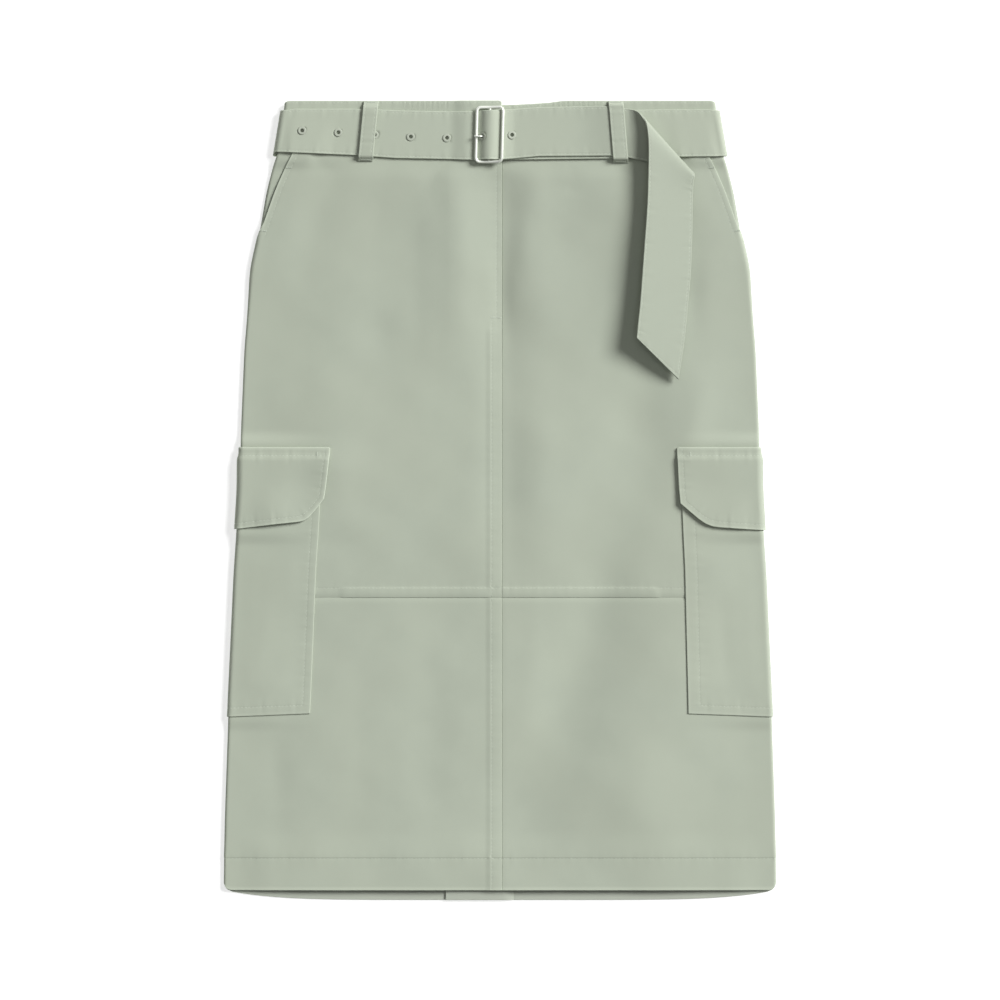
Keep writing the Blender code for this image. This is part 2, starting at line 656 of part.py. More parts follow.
def fly_underlap(finish):
    rows = [down for down in BELOW_WAIST_ROWS + HIP_ROWS if down < FLY_END] + [FLY_END]
    spots = [[(turn, down) for down in rows] for turn in (-FLY_UNDER, -FRONT_RIDGE[1], -SEAM / 2)]
    cloth_piece("fly_underlap", spots, lambda *_: 0.0, lambda *_: CLOTH, finish)


def vent_underlap(finish):
    """The left back's extension, inside the right back: seen at the hem between the front and the back."""
    lengths = (VENT_TOP, *(down for down in BACK_LOWER_ROWS if down > VENT_TOP))
    spots = []
    for size in (2 * SIDE - VENT_ROOT, 2 * SIDE, *(2 * SIDE + reach for reach in VENT_UNDER)):
        wrapped = size if size <= 2 * SIDE else size - 4 * SIDE
        spots.append([(size, down) for down in [*lengths, *hem_rows(wrapped, True)]])

    def outer(turn, down):
        return hem_inside(down) - SEAM

    def inner(turn, down):
        return outer(turn, down) - CLOTH

    cloth_piece("vent_underlap", spots, inner, outer, finish)


# ---------------------------------------------------------------- cargo pockets and flaps
def cargo_pocket(name, side, finish):
    cut = FLAP_CUTS[name.rsplit("_", 1)[1]]
    half = [cut.pocket_p, *NEAR_SIDE, *FOLD_P[:2]]
    sizes = [SIDE - p for p in half] + [SIDE] + [SIDE + p for p in reversed(half)]

    spots = []
    for size in sizes:
        t = abs(size - SIDE) / cut.pocket_p
        bottom = POCKET_BOTTOM_SIDE * (1 - t) + POCKET_BOTTOM_EDGE * t
        spots.append([(size, down) for down in (*POCKET_ROWS, bottom - POCKET_HEM, bottom)])
    cloth_piece(name, signed(spots, side), lambda *_: LAP, lambda *_: LAP + CLOTH, finish)


def cargo_flap(name, side, finish):
    """A flap over the pocket's top, with its lower corners cut off, the same on the front and the back."""
    cut = FLAP_CUTS[name.rsplit("_", 1)[1]]
    middle_p = (cut.corner_p + cut.chamfer_p) / 2 + FLAP_CORNER[0]
    middle_down = (cut.corner_down + cut.chamfer_down) / 2 + FLAP_CORNER[1]
    half = [
        (cut.top_p, cut.corner_p, cut.corner_down),
        (cut.top_p - FLAP_LEAN, middle_p, middle_down),
        (cut.chamfer_p + FLAP_LEAN, cut.chamfer_p, cut.chamfer_down),
    ]
    for p in (*NEAR_SIDE, *FOLD_P[:2], 0.0):
        t = p / cut.chamfer_p
        half.append((p, p, cut.side_down * (1 - t) + cut.chamfer_down * t))

    def column(top_p, bottom_p, bottom_down, sign):
        found = []
        for down in (*FLAP_ROWS, bottom_down):
            t = (down - FLAP_TOP) / (bottom_down - FLAP_TOP)
            found.append((SIDE - sign * (top_p * (1 - t) + bottom_p * t), down))
        return found

    spots = [column(*row, 1) for row in half] + [column(*row, -1) for row in reversed(half[:-1])]

    def inner(turn, down):
        spring = FLAP_SPRING * rise(down, *FLAP_SPRING_DOWN) * rise(SIDE - abs(turn), *FLAP_SPRING_P)
        return LAP + LAP * rise(down, *FLAP_STEP) + spring

    cloth_piece(name, signed(spots, side), inner, lambda turn, down: inner(turn, down) + FLAP, finish)


# ---------------------------------------------------------------- waistband
def waistband_top(turn):
    """The left front's top edge dips a little where it goes under the right one."""
    return BAND_DIP * rise(turn, BAND_DIP_TURNS[-1], BAND_DIP_TURNS[0])


def waistband_lift(turn):
    """Lift of the right front waistband over the left one's underlap."""
    return (WAISTBAND + SEAM) * rise(-turn, LAP_END, LAP_FULL)


def waistband_front_right(finish):
    sizes = (BAND_CORNER[1], LAP_FULL, LAP_END, MIDDLE_TURNS[-1]) + tuple(SIDE - p for p in FOLD_P)
    spots = [[(SEAM / 2, down) for down in (BAND_CORNER[0], BAND_ROW, WAIST_SEAM)]]
    spots += [[(size, down) for down in (0.0, BAND_ROW, WAIST_SEAM)] for size in sizes]

    def inner(turn, down):
        return waistband_lift(turn)

    def outer(turn, down):
        return waistband_lift(turn) + WAISTBAND

    cloth_piece("waistband_front_right", signed(spots, -1), inner, outer, finish)


def waistband_front_left(finish):
    turns = (-FLY_UNDER, *BAND_DIP_TURNS) + tuple(SIDE - p for p in FOLD_P)
    spots = [[(turn, down) for down in (waistband_top(turn), BAND_ROW, WAIST_SEAM)] for turn in turns]
    cloth_piece("waistband_front_left", spots, lambda *_: 0.0, lambda *_: WAISTBAND, finish)


def waistband_back(finish):
    half = (*back_turns()[:-2], *(SIDE - p for p in FOLD_P))
    turns = [2 * SIDE - size for size in reversed(half)] + [2 * SIDE + size for size in half[1:]]
    spots = [[(turn, down) for down in (0.0, BAND_ROW, WAIST_SEAM)] for turn in turns]
    cloth_piece("waistband_back", spots, lambda *_: 0.0, lambda *_: WAISTBAND, finish)


# ---------------------------------------------------------------- belt
def belt_edges(turn, rows):
    """How far down the strap's upper and lower edges are at this turn."""
    if abs(turn) > SIDE:
        return BACK_EDGES
    x = skin(turn, BELT_LINE, 0.0).x
    return lookup(rows, x, "top"), lookup(rows, x, "bottom")


def belt_level(down):
    """Keeps the belt's front level where what lies under the skirt thins out below the belt."""
    return BELT_THICKER * rise(down, BELT_END, BELOW_BELT)


def belt_seat(turn, down):
    """How far out the belt's inner face lies. The lapped waistband and the side folds lift it, and the edge
    of the hip pocket lifts its lower edge."""
    lapped = rise(-turn, LAP_END, LAP_FULL) if turn < 0 else rise(turn, *LAP_STEP[::-1])
    p = abs(SIDE - abs(turn))
    slack = BELT_SLACK * math.cos(min(1.0, p / FOLD_ARC) * math.pi / 2)
    seat = BELT_SEAT + (WAISTBAND + SEAM) * lapped + slack
    if abs(turn) >= SIDE:
        return seat
    mouth = rise(p, *MOUTH_P[:2]) * rise(p, FOLD_ARC, MOUTH_P[2]) * rise(down, MOUTH_DOWN, WAIST_SEAM)
    return seat + MOUTH_LIFT * mouth + belt_level(down)


def centre_level():
    """Height of the tube's inner face under the buckle."""
    return skin(0.0, BELT_LINE, 0.0).z


def flat_cut(inner, outer, rows):
    """A section of the strap at the buckle: the upper and lower ends of its inner face, then of its outer
    one."""
    edges = lookup(rows, inner.x, "top"), lookup(rows, inner.x, "bottom")
    faces = []
    for spot in (inner, outer):
        z = centre_level() + spot.out
        faces.append([Vector((spot.x + buckle_lean(down), TOP_Y - down, z)) for down in edges])
    return faces


def lying_cut(turn, rows, under=0.0):
    """A section of the strap where it lies on the skirt, or on what is under it there."""
    edges = belt_edges(turn, rows)
    seats = [belt_seat(turn, down) + under for down in edges]
    return [[skin(turn, down, seat + thick) for down, seat in zip(edges, seats)] for thick in (0.0, STRAP)]


def round_bar(degrees, radius):
    a = math.radians(degrees)
    return Spot(BAR_X + radius * math.cos(a), BAR_OUT + radius * math.sin(a))


def curl_sections():
    """The fixed end of the strap, turned round the buckle's bar from above it, past its left, to below it."""
    made = []
    near, far = BAR + SEAM, BAR + SEAM + CURL
    for degrees in CURL_ANGLES:
        made.append(flat_cut(round_bar(degrees, far), round_bar(degrees, near), RING_EDGES))
    return made


def ring_sections():
    """The strap from the buckle round the left side, the back and the right side, back to the buckle."""
    side = (MIDDLE_TURNS[-1], *(SIDE - p for p in (*MOUTH_P, *FOLD_P[:2])))
    half_back = back_turns()[:-2] + side[-2:]
    turns = [RING_FIRST, LAP_STEP[1], LAP_END, *side, SIDE]
    turns += [2 * SIDE - size for size in reversed(half_back)]
    turns += [size - 2 * SIDE for size in half_back[1:]]
    turns += [-SIDE, *(-size for size in reversed(side)), -LAP_END, -LAP_FULL]
    first = flat_cut(RING_START, Spot(RING_START.x, RING_START.out + STRAP), RING_EDGES)
    return [first, *(lying_cut(turn, RING_EDGES) for turn in turns)]


def climb_sections():
    """The strap under the buckle's left upright, over the bar and under the right upright."""
    made = []
    for before, here, after in zip(CLIMB, CLIMB[1:], CLIMB[2:]):
        slope = math.atan2(after.out - before.out, after.x - before.x)
        outer = Spot(here.x - STRAP * math.sin(slope), here.out + STRAP * math.cos(slope))
        made.append(flat_cut(here, outer, OVER_EDGES))
    return made


def over_sections():
    """The strap's second layer, lying on the first from the buckle to past the front left loop."""
    turns = [turn_at(x, BELT_LINE) for x in OVER_X]
    return [lying_cut(turn, OVER_EDGES, under=STRAP + SEAM) for turn in turns]


def tail_sections(last):
    """The free end, folded down across itself with its inner face outwards, held up by its own stiffness."""
    middles = [[(last[0][e] + last[1][e]) / 2 for e in (0, 1)]]
    for row in TAIL_RULINGS:
        upper = Vector((row.x_a, TOP_Y - row.down_a, row.z_a))
        lower = Vector((row.x_b, TOP_Y - row.down_b, row.z_b))
        middles.append([upper, lower])
    made = []
    for k in range(1, len(middles)):
        before, after = middles[k - 1], middles[min(k + 1, len(middles) - 1)]
        across = middles[k][1] - middles[k][0]
        ends = []
        for e in (0, 1):
            facing = across.cross(after[e] - before[e]).normalized()
            ends.append((middles[k][e] - facing * STRAP / 2, middles[k][e] + facing * STRAP / 2))
        made.append([[ends[0][f], ends[1][f]] for f in (0, 1)])
    return made


def belt_strap(finish):
    over = over_sections()
    sections = curl_sections() + ring_sections() + climb_sections() + over + tail_sections(over[-1])
    inner = [section[0] for section in sections]
    outer = [section[1] for section in sections]
    strap = wall("belt_strap", outer, inner, finish)
    for step, (number, spot, facing) in zip(EYELET_DOWN, eyelet_spots()):
        depth = SLOPING_HOLE_DEPTHS.get(step, HOLE_DEPTH)
        boolean(strap, round_cutter(f"eyelet_hole_{number}", spot, facing, depth), "DIFFERENCE")
    boolean(strap, prong_slot(), "DIFFERENCE")


def prong_slot():
    """Cuts the strap's fixed end where the prong is hooked round the bar."""
    low, high = PRONG_SLOT
    bpy.ops.mesh.primitive_cube_add(size=1)
    slot = bpy.context.object
    slot.name = "prong_slot"
    z = centre_level() + (low.out + high.out) / 2
    middle = Vector(((low.x + high.x) / 2, TOP_Y - EYELET_DOWN[0], z))
    slot.data.transform(Matrix.Diagonal((high.x - low.x, 2 * PRONG_SLOT_HALF, high.out - low.out, 1)))
    slot.data.transform(Matrix.Translation(middle))
    return slot


def round_cutter(name, spot, facing, depth):
    bpy.ops.mesh.primitive_cylinder_add(vertices=10, radius=EYELET_HOLE, depth=depth)
    cutter = bpy.context.object
    cutter.name = name
    turned = Vector((0, 0, 1)).rotation_difference(facing).to_matrix().to_4x4()
    cutter.data.transform(Matrix.Translation(spot - facing * STRAP / 2) @ turned)
    return cutter


# ---------------------------------------------------------------- eyelets
def eyelet_spots():
    """(number, point on the strap's outer face, direction out of it) of each eyelet."""
    upwards = Vector((0, 0, 1))
    found = []
    for number, (step, down) in enumerate(EYELET_DOWN.items(), 1):
        x = EYELET_IN_USE + step * EYELET_PITCH
        if step in EYELET_SEATS:
            low, high = EYELET_SEATS[step]
            slope = math.atan2(high.out - low.out, high.x - low.x)
            facing = Vector((-math.sin(slope), 0, math.cos(slope)))
            middle = Vector(((low.x + high.x) / 2, TOP_Y - down, centre_level() + (low.out + high.out) / 2))
            found.append((number, middle + facing * STRAP, facing))
            continue
        turn = turn_at(x, down)
        top = skin(turn, down, belt_seat(turn, down) + STRAP)
        found.append((number, Vector((x, TOP_Y - down, top.z)), upwards))
    return found


def eyelet(number, spot, facing, finish):
    """A turned ring: a flange on the strap's face and a barrel down through its hole."""
    profile = [
        (EYELET_BORE, EYELET_TOP - EYELET_ROUND / 2),
        (EYELET_BORE + EYELET_ROUND, EYELET_TOP),
        (EYELET_FLANGE - EYELET_ROUND, EYELET_TOP),
        (EYELET_FLANGE, SEAM),
        (EYELET_BARREL, SEAM),
        (EYELET_BARREL, SEAM - STRAP),
        (EYELET_BORE, SEAM - STRAP),
    ]
    work = bmesh.new()
    rings = []
    for s in range(EYELET_SIDES):
        a = 2 * math.pi * s / EYELET_SIDES
        rings.append([work.verts.new((r * math.cos(a), r * math.sin(a), z)) for r, z in profile])
    for s in range(EYELET_SIDES):
        here, there = rings[s], rings[(s + 1) % EYELET_SIDES]
        for k in range(len(profile)):
            following = (k + 1) % len(profile)
            work.faces.new((here[k], here[following], there[following], there[k]))
    made = add_object(f"belt_eyelet_{number}", work, finish)
    made.location = spot
    made.rotation_mode = "QUATERNION"
    made.rotation_quaternion = Vector((0, 0, 1)).rotation_difference(facing)


# ---------------------------------------------------------------- buckle
def frame_out(x):
    """How far out the frame's wire is: it bows down to the bar between its uprights."""
    t = (x - BUCKLE_LEFT) / (BUCKLE_RIGHT - BUCKLE_LEFT)
    return LEFT_OUT + (RIGHT_OUT - LEFT_OUT) * t - FRAME_BOW * (1 - (2 * t - 1) ** 2)


def buckle_lean(down):
    """The buckle and the strap in it are turned a little from upright."""
    return ((BUCKLE_TOP + BUCKLE_BOTTOM) / 2 - down) * BUCKLE_LEAN


def buckle_point(x, down):
    return Vector((x + buckle_lean(down), TOP_Y - down, centre_level() + frame_out(x)))


def buckle_frame(finish):
    """A rounded oblong of wire with a bar down its middle, which the strap's fixed end is turned round."""
    corners = [
        (BUCKLE_RIGHT, BUCKLE_TOP, 0),
        (BUCKLE_LEFT, BUCKLE_TOP, 90),
        (BUCKLE_LEFT, BUCKLE_BOTTOM, 180),
        (BUCKLE_RIGHT, BUCKLE_BOTTOM, 270),
    ]
    path = []
    for x, down, first in corners:
        inward_x = -1 if x > BAR_X else 1
        inward_down = 1 if down < BELT_LINE else -1
        centre = (x + inward_x * BUCKLE_CORNER, down + inward_down * BUCKLE_CORNER)
        for step in range(4):
            a = math.radians(first + 30 * step)
            path.append((centre[0] + BUCKLE_CORNER * math.cos(a), centre[1] - BUCKLE_CORNER * math.sin(a)))
        if first in (0, 180):
            straight = BUCKLE_RIGHT - BUCKLE_LEFT - 2 * BUCKLE_CORNER
            path += [(x + inward_x * (BUCKLE_CORNER + share * straight), down) for share in FRAME_SIDES]
    points = [buckle_point(*spot) for spot in path]
    frame = tube("belt_buckle_frame", points, WIRE, finish, Vector((0, 0, 1)), closed=True)
    ends = [buckle_point(BAR_X, BUCKLE_TOP), buckle_point(BAR_X, BUCKLE_BOTTOM)]
    boolean(frame, tube("buckle_bar", ends, BAR, finish, Vector((0, 0, 1))), "UNION")


def buckle_prong(finish):
    """A wire hooked round the bar, up through the strap's eyelet and over the left upright."""
    route = [round_bar(degrees, BAR + SEAM + PRONG) for degrees in HOOK_ANGLES] + PRONG_ROUTE
    points = [Vector((spot.x, TOP_Y - EYELET_DOWN[0], centre_level() + spot.out)) for spot in route]
    tube("belt_buckle_prong", points, PRONG, finish, Vector((0, 1, 0)))


# ---------------------------------------------------------------- belt loops
def front_loop(name, spot, finish):
    """A strip over the belt, sewn to the waistband's top and to the front below the belt. The left one holds
    two layers of the belt, and the right one has an eyelet under it."""
    over_belt = BELT_SEAT + STRAP + SEAM + spot.extra + SEAM
    belt_end = spot.belt_bottom + LOOP_CLEAR
    rows = {
        LOOP_SEWN[0]: BELT_SEAT,
        LOOP_SEWN[1]: BELT_SEAT,
        spot.belt_top - LOOP_CLEAR: over_belt,
        belt_end: over_belt + belt_level(belt_end),
        spot.bottom - LOOP_FOOT: LAP,
        spot.bottom: LAP,
    }
    spots = []
    for edge in (-LOOP_WIDTH / 2, LOOP_WIDTH / 2):
        middles = [spot.x_top + (spot.x_bottom - spot.x_top) * down / spot.bottom for down in rows]
        spots.append([(turn_at(middle + edge, down), down) for middle, down in zip(middles, rows)])
    cloth_piece(name, spots, lambda turn, down: rows[down], lambda turn, down: rows[down] + LOOP, finish)


def back_loop(name, from_centre, finish):
    """The same strip on the back, under the belt as the skirt lies."""
    over_belt = BELT_SEAT + STRAP + SEAM
    rows = {
        LOOP_SEWN[0]: BELT_SEAT,
        LOOP_SEWN[1]: BELT_SEAT,
        BACK_EDGES[0] - LOOP_CLEAR: over_belt,
        BACK_EDGES[1] + LOOP_CLEAR: over_belt,
        BACK_LOOP_END - LOOP_FOOT: LAP,
        BACK_LOOP_END: LAP,
    }
    turns = [2 * SIDE - (from_centre + edge) for edge in (LOOP_WIDTH / 2, -LOOP_WIDTH / 2)]
    spots = [[(turn, down) for down in rows] for turn in turns]
    cloth_piece(name, spots, lambda turn, down: rows[down], lambda turn, down: rows[down] + LOOP, finish)


# ---------------------------------------------------------------- the skirt
def main():
    for old in list(bpy.data.objects):
        bpy.data.objects.remove(old)

    sides = {"right": -1, "left": 1}
    for word, side in sides.items():
        front_upper(f"front_upper_{word}", side, TWILL)
        front_lower(f"front_lower_{word}", side, TWILL)
        back_panel(f"back_{word}", side, TWILL)
        hip_facing(f"hip_facing_{word}", side, TWILL)
        cargo_pocket(f"cargo_pocket_{word}", side, TWILL)
        cargo_flap(f"cargo_flap_{word}", side, TWILL)
    fly_underlap(TWILL)
    vent_underlap(TWILL)
    waistband_front_right(TWILL)
    waistband_front_left(TWILL)
    waistband_back(TWILL)
    for word, spot in FRONT_LOOPS.items():
        front_loop(f"belt_loop_{word}", spot, TWILL)
    for word, from_centre in BACK_LOOPS.items():
        back_loop(f"belt_loop_{word}", from_centre, TWILL)
    belt_strap(BELT_TWILL)
    for number, spot, facing in eyelet_spots():
        eyelet(number, spot, facing, STEEL)
    buckle_frame(STEEL)
    buckle_prong(STEEL)


main()
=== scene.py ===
"""Dresses the cargo utility skirt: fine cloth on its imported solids, its stitching, belt, buckle and eyelets.

The skirt is a flattened tube of cloth. A point of it is given by
    turn   where it is round the tube: 0 at the centre front, +-0.25 at the side seams, +-0.5 behind
    down   how far it is below the top edge of the waistband
    out    how far it lies outside the tube's inner face
Units are metres. +X is towards the wearer's left, +Y towards the waist, +Z up from the table.
"""

import math
from collections import namedtuple

import bmesh
import bpy
import numpy as np
from mathutils import Matrix, Vector


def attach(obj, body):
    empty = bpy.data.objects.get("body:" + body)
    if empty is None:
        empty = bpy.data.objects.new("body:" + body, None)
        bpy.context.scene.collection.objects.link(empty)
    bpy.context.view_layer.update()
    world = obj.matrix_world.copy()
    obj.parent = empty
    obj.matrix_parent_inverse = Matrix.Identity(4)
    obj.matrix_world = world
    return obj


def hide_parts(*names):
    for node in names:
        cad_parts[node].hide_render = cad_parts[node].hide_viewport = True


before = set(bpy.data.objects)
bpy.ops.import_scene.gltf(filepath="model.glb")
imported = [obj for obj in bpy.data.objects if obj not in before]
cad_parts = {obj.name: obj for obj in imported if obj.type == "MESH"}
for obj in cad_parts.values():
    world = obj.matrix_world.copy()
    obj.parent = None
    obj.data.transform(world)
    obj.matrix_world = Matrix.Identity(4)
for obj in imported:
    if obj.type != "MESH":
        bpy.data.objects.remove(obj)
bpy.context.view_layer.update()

bl_info = {
    "name": "Cargo utility skirt",
    "version": (1, 0, 0),
    "blender": (4, 5, 0),
    "location": "View3D > Sidebar > Skirt",
    "description": "Makes the cloth, stitching, belt and metal of a cargo utility skirt that lies flat",
    "category": "Add Mesh",
}

# ---------------------------------------------------------------- sizes of the garment
# names that end in _p or _P are distances in the cloth from the side seam
BODY = "root"
FRONT_LENGTH, BACK_DROP = 0.7097, 0.0090
TOP_Y = (FRONT_LENGTH + BACK_DROP) / 2
SEAM = 0.0003
JOIN = 0.00003  # half of what is left open between two pieces that are sewn edge to edge
CLOTH, WAISTBAND, FLAP, STRAP, LOOP = 0.0012, 0.0016, 0.0016, 0.0018, 0.0012
POCKET = 0.0010
LAP = CLOTH + SEAM
FOLD_RADIUS = 0.0012
FOLD_ARC = math.pi / 2 * (FOLD_RADIUS + CLOTH / 2)
REST_GAP, HEM_GAP = 2 * FOLD_RADIUS, 0.0034
WAIST_SEAM = 0.0450
SIDE, CENTRE_ZONE, SIDE_ZONE = 0.25, 0.045, 0.105
SIDES = {"right": -1, "left": 1}
CENTRE_SHIFT = 0.0018

Outline = namedtuple("Outline", "down half_width")
OUTLINE = [
    Outline(0.0000, 0.1928),
    Outline(0.0450, 0.1986),
    Outline(0.0540, 0.2028),
    Outline(0.0800, 0.2097),
    Outline(0.1160, 0.2158),
    Outline(0.1340, 0.2198),
    Outline(0.1520, 0.2238),
    Outline(0.1700, 0.2254),
    Outline(0.1880, 0.2270),
    Outline(0.2240, 0.2300),
    Outline(0.2960, 0.2330),
    Outline(0.3500, 0.2334),
    Outline(0.3860, 0.2356),
    Outline(0.4220, 0.2382),
    Outline(0.4940, 0.2415),
    Outline(0.5550, 0.2444),
    Outline(0.6380, 0.2473),
    Outline(0.7010, 0.2488),
    Outline(0.7200, 0.2488),
]

CROSS_SEAM = 0.4465
CROSS_RIDGE, FRONT_RIDGE, RIDGE = (0.4365, 0.4385), (0.0105, 0.0125), 0.0005
HEM_SPREAD, HEM_TOP, HEM_STEP, HEM_DEPTH_EXTRA = 0.655, 0.6805, 0.001, 0.0006
HEM_CORNER, HEM_CURVE = 0.0075, 6
NEAR_SIDE = (0.045, 0.012)
ZONE_FULL, ZONE_END, ZONE_RAMP = 0.0830, 0.0985, 0.012

POCKET_TOP, POCKET_BOTTOM_EDGE, POCKET_BOTTOM_SIDE = 0.3250, 0.5508, 0.5538
FLAP_ZONE, POCKET_ZONE = (0.309, 0.388), (0.309, 0.5555)
# a flap's upright edge leans in from top_p to corner_p, then its corner is cut off down to chamfer_p
FlapCut = namedtuple(
    "FlapCut",
    "top_p corner_p corner_down chamfer_p chamfer_down side_down pocket_top_p pocket_bottom_p pocket_line",
)
FLAP_TOP, FLAP_STEP = 0.3114, (0.3160, 0.3235)
FLAP_CUTS = {
    "right": FlapCut(0.0815, 0.0765, 0.3578, 0.0620, 0.3780, 0.3843, 0.0729, 0.0741, 0.0070),
    "left": FlapCut(0.0750, 0.0728, 0.3620, 0.0500, 0.3830, 0.3860, 0.0704, 0.0756, 0.0110),
}
FLAP_SPRING, FLAP_SPRING_DOWN, FLAP_SPRING_P = 0.0016, (0.340, 0.384), (0.004, 0.030)

SLANT_P, SLANT_END = 0.0145, 0.1245
FACING_UNDER, FACING_CLEAR, FACING_END, FACING_SINK = 0.014, 0.001, 0.133, 0.0007
FACING_SINK_DOWN, FACING_FALL, FACING_REACH = (0.0635, 0.085), (0.200, 0.136), (0.012, 0.040)
FLY_UNDER, FLY_END, FLY_LIFT_END, FLY_FALL, FLY_REACH = 0.028, 0.195, (0.197, 0.212), (0.260, 0.197), 0.090
VENT_TOP, VENT_UNDER, VENT_ROOT, VENT_THIN = 0.525, 0.049, 0.012, 0.009

BAND_DIP, BAND_DIP_END, BACK_DIP_END, BAND_CORNER = 0.0038, 0.085, (-0.015, -0.008), (0.0018, 0.0025)
BAND_SHOULDER = 0.0060, 0.0030  # how far from the side fold its top is rounded off, and by how much

BELT_SEAT = WAISTBAND + SEAM
BELT_THICKER = WAISTBAND + SEAM + STRAP - CLOTH
BELT_LINE, BACK_EDGES = 0.030, (0.0090, 0.0500)
BELT_END, BELT_RAMP = 0.0515, 0.012
BELOW_BELT = BELT_END + BELT_RAMP
MOUTH_LIFT, MOUTH_P, MOUTH_DOWN = 0.0012, (0.052, 0.036, 0.012), 0.008
BELT_SLACK = 0.0012
LAP_FULL, LAP_END = 0.030, 0.045
RING_FIRST, LAP_STEP = 0.0020, (0.0010, 0.0100)

# how far down the strap's two edges are: on its way round the waist, and where it comes out of the buckle
BeltEdge = namedtuple("BeltEdge", "x top bottom")
RING_EDGES = [
    BeltEdge(-0.2300, 0.0090, 0.0500),
    BeltEdge(-0.2030, 0.0100, 0.0460),
    BeltEdge(-0.1880, 0.0076, 0.0468),
    BeltEdge(-0.1260, 0.0076, 0.0494),
    BeltEdge(-0.0900, 0.0092, 0.0520),
    BeltEdge(-0.0450, 0.0100, 0.0530),
    BeltEdge(-0.0270, 0.0098, 0.0538),
    BeltEdge(0.0040, 0.0090, 0.0536),
    BeltEdge(0.0950, 0.0090, 0.0524),
    BeltEdge(0.1500, 0.0081, 0.0510),
    BeltEdge(0.1900, 0.0080, 0.0505),
    BeltEdge(0.2030, 0.0100, 0.0495),
    BeltEdge(0.2300, 0.0090, 0.0500),
]
OVER_EDGES = [
    BeltEdge(-0.0270, 0.0098, 0.0538),
    BeltEdge(0.0040, 0.0087, 0.0534),
    BeltEdge(0.0350, 0.0063, 0.0504),
    BeltEdge(0.0950, 0.0052, 0.0500),
    BeltEdge(0.1120, 0.0068, 0.0512),
]
OVER_X = (0.0110, 0.040, 0.075, 0.094, 0.107)

# straight lines across the strap's middle surface where it folds over and hangs down its free end: from a, on
# its upper edge, to b, on its lower one
Ruling = namedtuple("Ruling", "x_a down_a z_a x_b down_b z_b")
TAIL_RULINGS = [
    Ruling(0.1150, 0.0076, 0.0110, 0.1190, 0.0526, 0.0110),
    Ruling(0.1186, 0.0084, 0.0122, 0.1340, 0.0555, 0.0111),
    Ruling(0.1218, 0.0095, 0.0142, 0.1485, 0.0585, 0.0117),
    Ruling(0.1252, 0.0117, 0.0168, 0.1652, 0.0620, 0.0125),
    Ruling(0.1278, 0.0153, 0.0194, 0.1722, 0.0644, 0.0128),
    Ruling(0.1300, 0.0184, 0.0208, 0.1744, 0.0660, 0.0134),
    Ruling(0.1316, 0.0240, 0.0222, 0.1752, 0.0676, 0.0143),
    Ruling(0.1325, 0.0320, 0.0232, 0.1746, 0.0692, 0.0150),
    Ruling(0.1329, 0.0440, 0.0238, 0.1736, 0.0715, 0.0150),
    Ruling(0.1327, 0.0576, 0.0242, 0.1732, 0.0755, 0.0144),
    Ruling(0.1323, 0.0720, 0.0245, 0.1730, 0.0815, 0.0138),
    Ruling(0.1319, 0.0880, 0.0249, 0.1728, 0.0920, 0.0134),
    Ruling(0.1307, 0.1080, 0.0252, 0.1726, 0.1110, 0.0132),
    Ruling(0.1290, 0.1300, 0.0255, 0.1721, 0.1330, 0.0131),
    Ruling(0.1272, 0.1550, 0.0257, 0.1710, 0.1585, 0.0130),
    Ruling(0.1252, 0.1820, 0.0258, 0.1683, 0.1860, 0.0130),
    Ruling(0.1229, 0.2040, 0.0258, 0.1660, 0.2120, 0.0130),
    Ruling(0.1223, 0.2105, 0.0258, 0.1628, 0.2340, 0.0130),
    Ruling(0.1220, 0.2137, 0.0258, 0.1600, 0.2510, 0.0130),
]

WIRE, BAR, PRONG = 0.0014, 0.0011, 0.0008
BUCKLE_LEFT, BUCKLE_RIGHT, BUCKLE_TOP, BUCKLE_BOTTOM = -0.0212, 0.0022, 0.0067, 0.0555
BUCKLE_CORNER, BUCKLE_LEAN = 0.0035, 0.026
BAR_X = (BUCKLE_LEFT + BUCKLE_RIGHT) / 2
LEFT_OUT, RIGHT_OUT, FRAME_BOW = 0.0076, 0.0094, 0.0017
BAR_OUT = (LEFT_OUT + RIGHT_OUT) / 2 - FRAME_BOW
CURL, CURL_ANGLES, CURL_COUNT, CURL_EASE = 0.0010, (55, 265), 22, 0.006
HOOK_ANGLES = (30, -10, -50, -90, -130, -165)
Spot = namedtuple("Spot", "x out")
# the prong's middle line from its hook to its tip
PRONG_ROUTE = [
    Spot(-0.0134, 0.0066),
    Spot(-0.0147, 0.0077),
    Spot(-0.0160, 0.0093),
    Spot(-0.0174, 0.0102),
    Spot(-0.0194, 0.0105),
    Spot(-0.0214, 0.0104),
    Spot(-0.0230, 0.0101),
]
# the strap's inner face under the buckle's left upright, over the bar and under the right upright
CLIMB = [
    Spot(-0.0300, 0.0038),
    Spot(-0.0245, 0.0038),
    Spot(-0.0200, 0.0041),
    Spot(-0.0165, 0.0060),
    Spot(-0.0128, 0.0087),
    Spot(BAR_X, BAR_OUT + BAR + 2 * SEAM + CURL),
    Spot(-0.0062, 0.0090),
    Spot(-0.0025, 0.0070),
    Spot(0.0008, 0.0060),
    Spot(0.0050, 0.0059),
]
RING_START = Spot(-0.0045, 0.0038)
PRONG_SLOT_HALF = 0.0017

EYELET_PITCH, EYELET_IN_USE = 0.0325, -0.0151
EYELET_FLANGE, EYELET_BORE, EYELET_BARREL, EYELET_HOLE, EYELET_TOP = 0.0037, 0.0017, 0.0021, 0.0024, 0.0009
EYELET_DOWN = {-5: 0.0272, -4: 0.0289, -3: 0.0310, -2: 0.0328, -1: 0.0338, 0: 0.0328, 1: 0.0314}
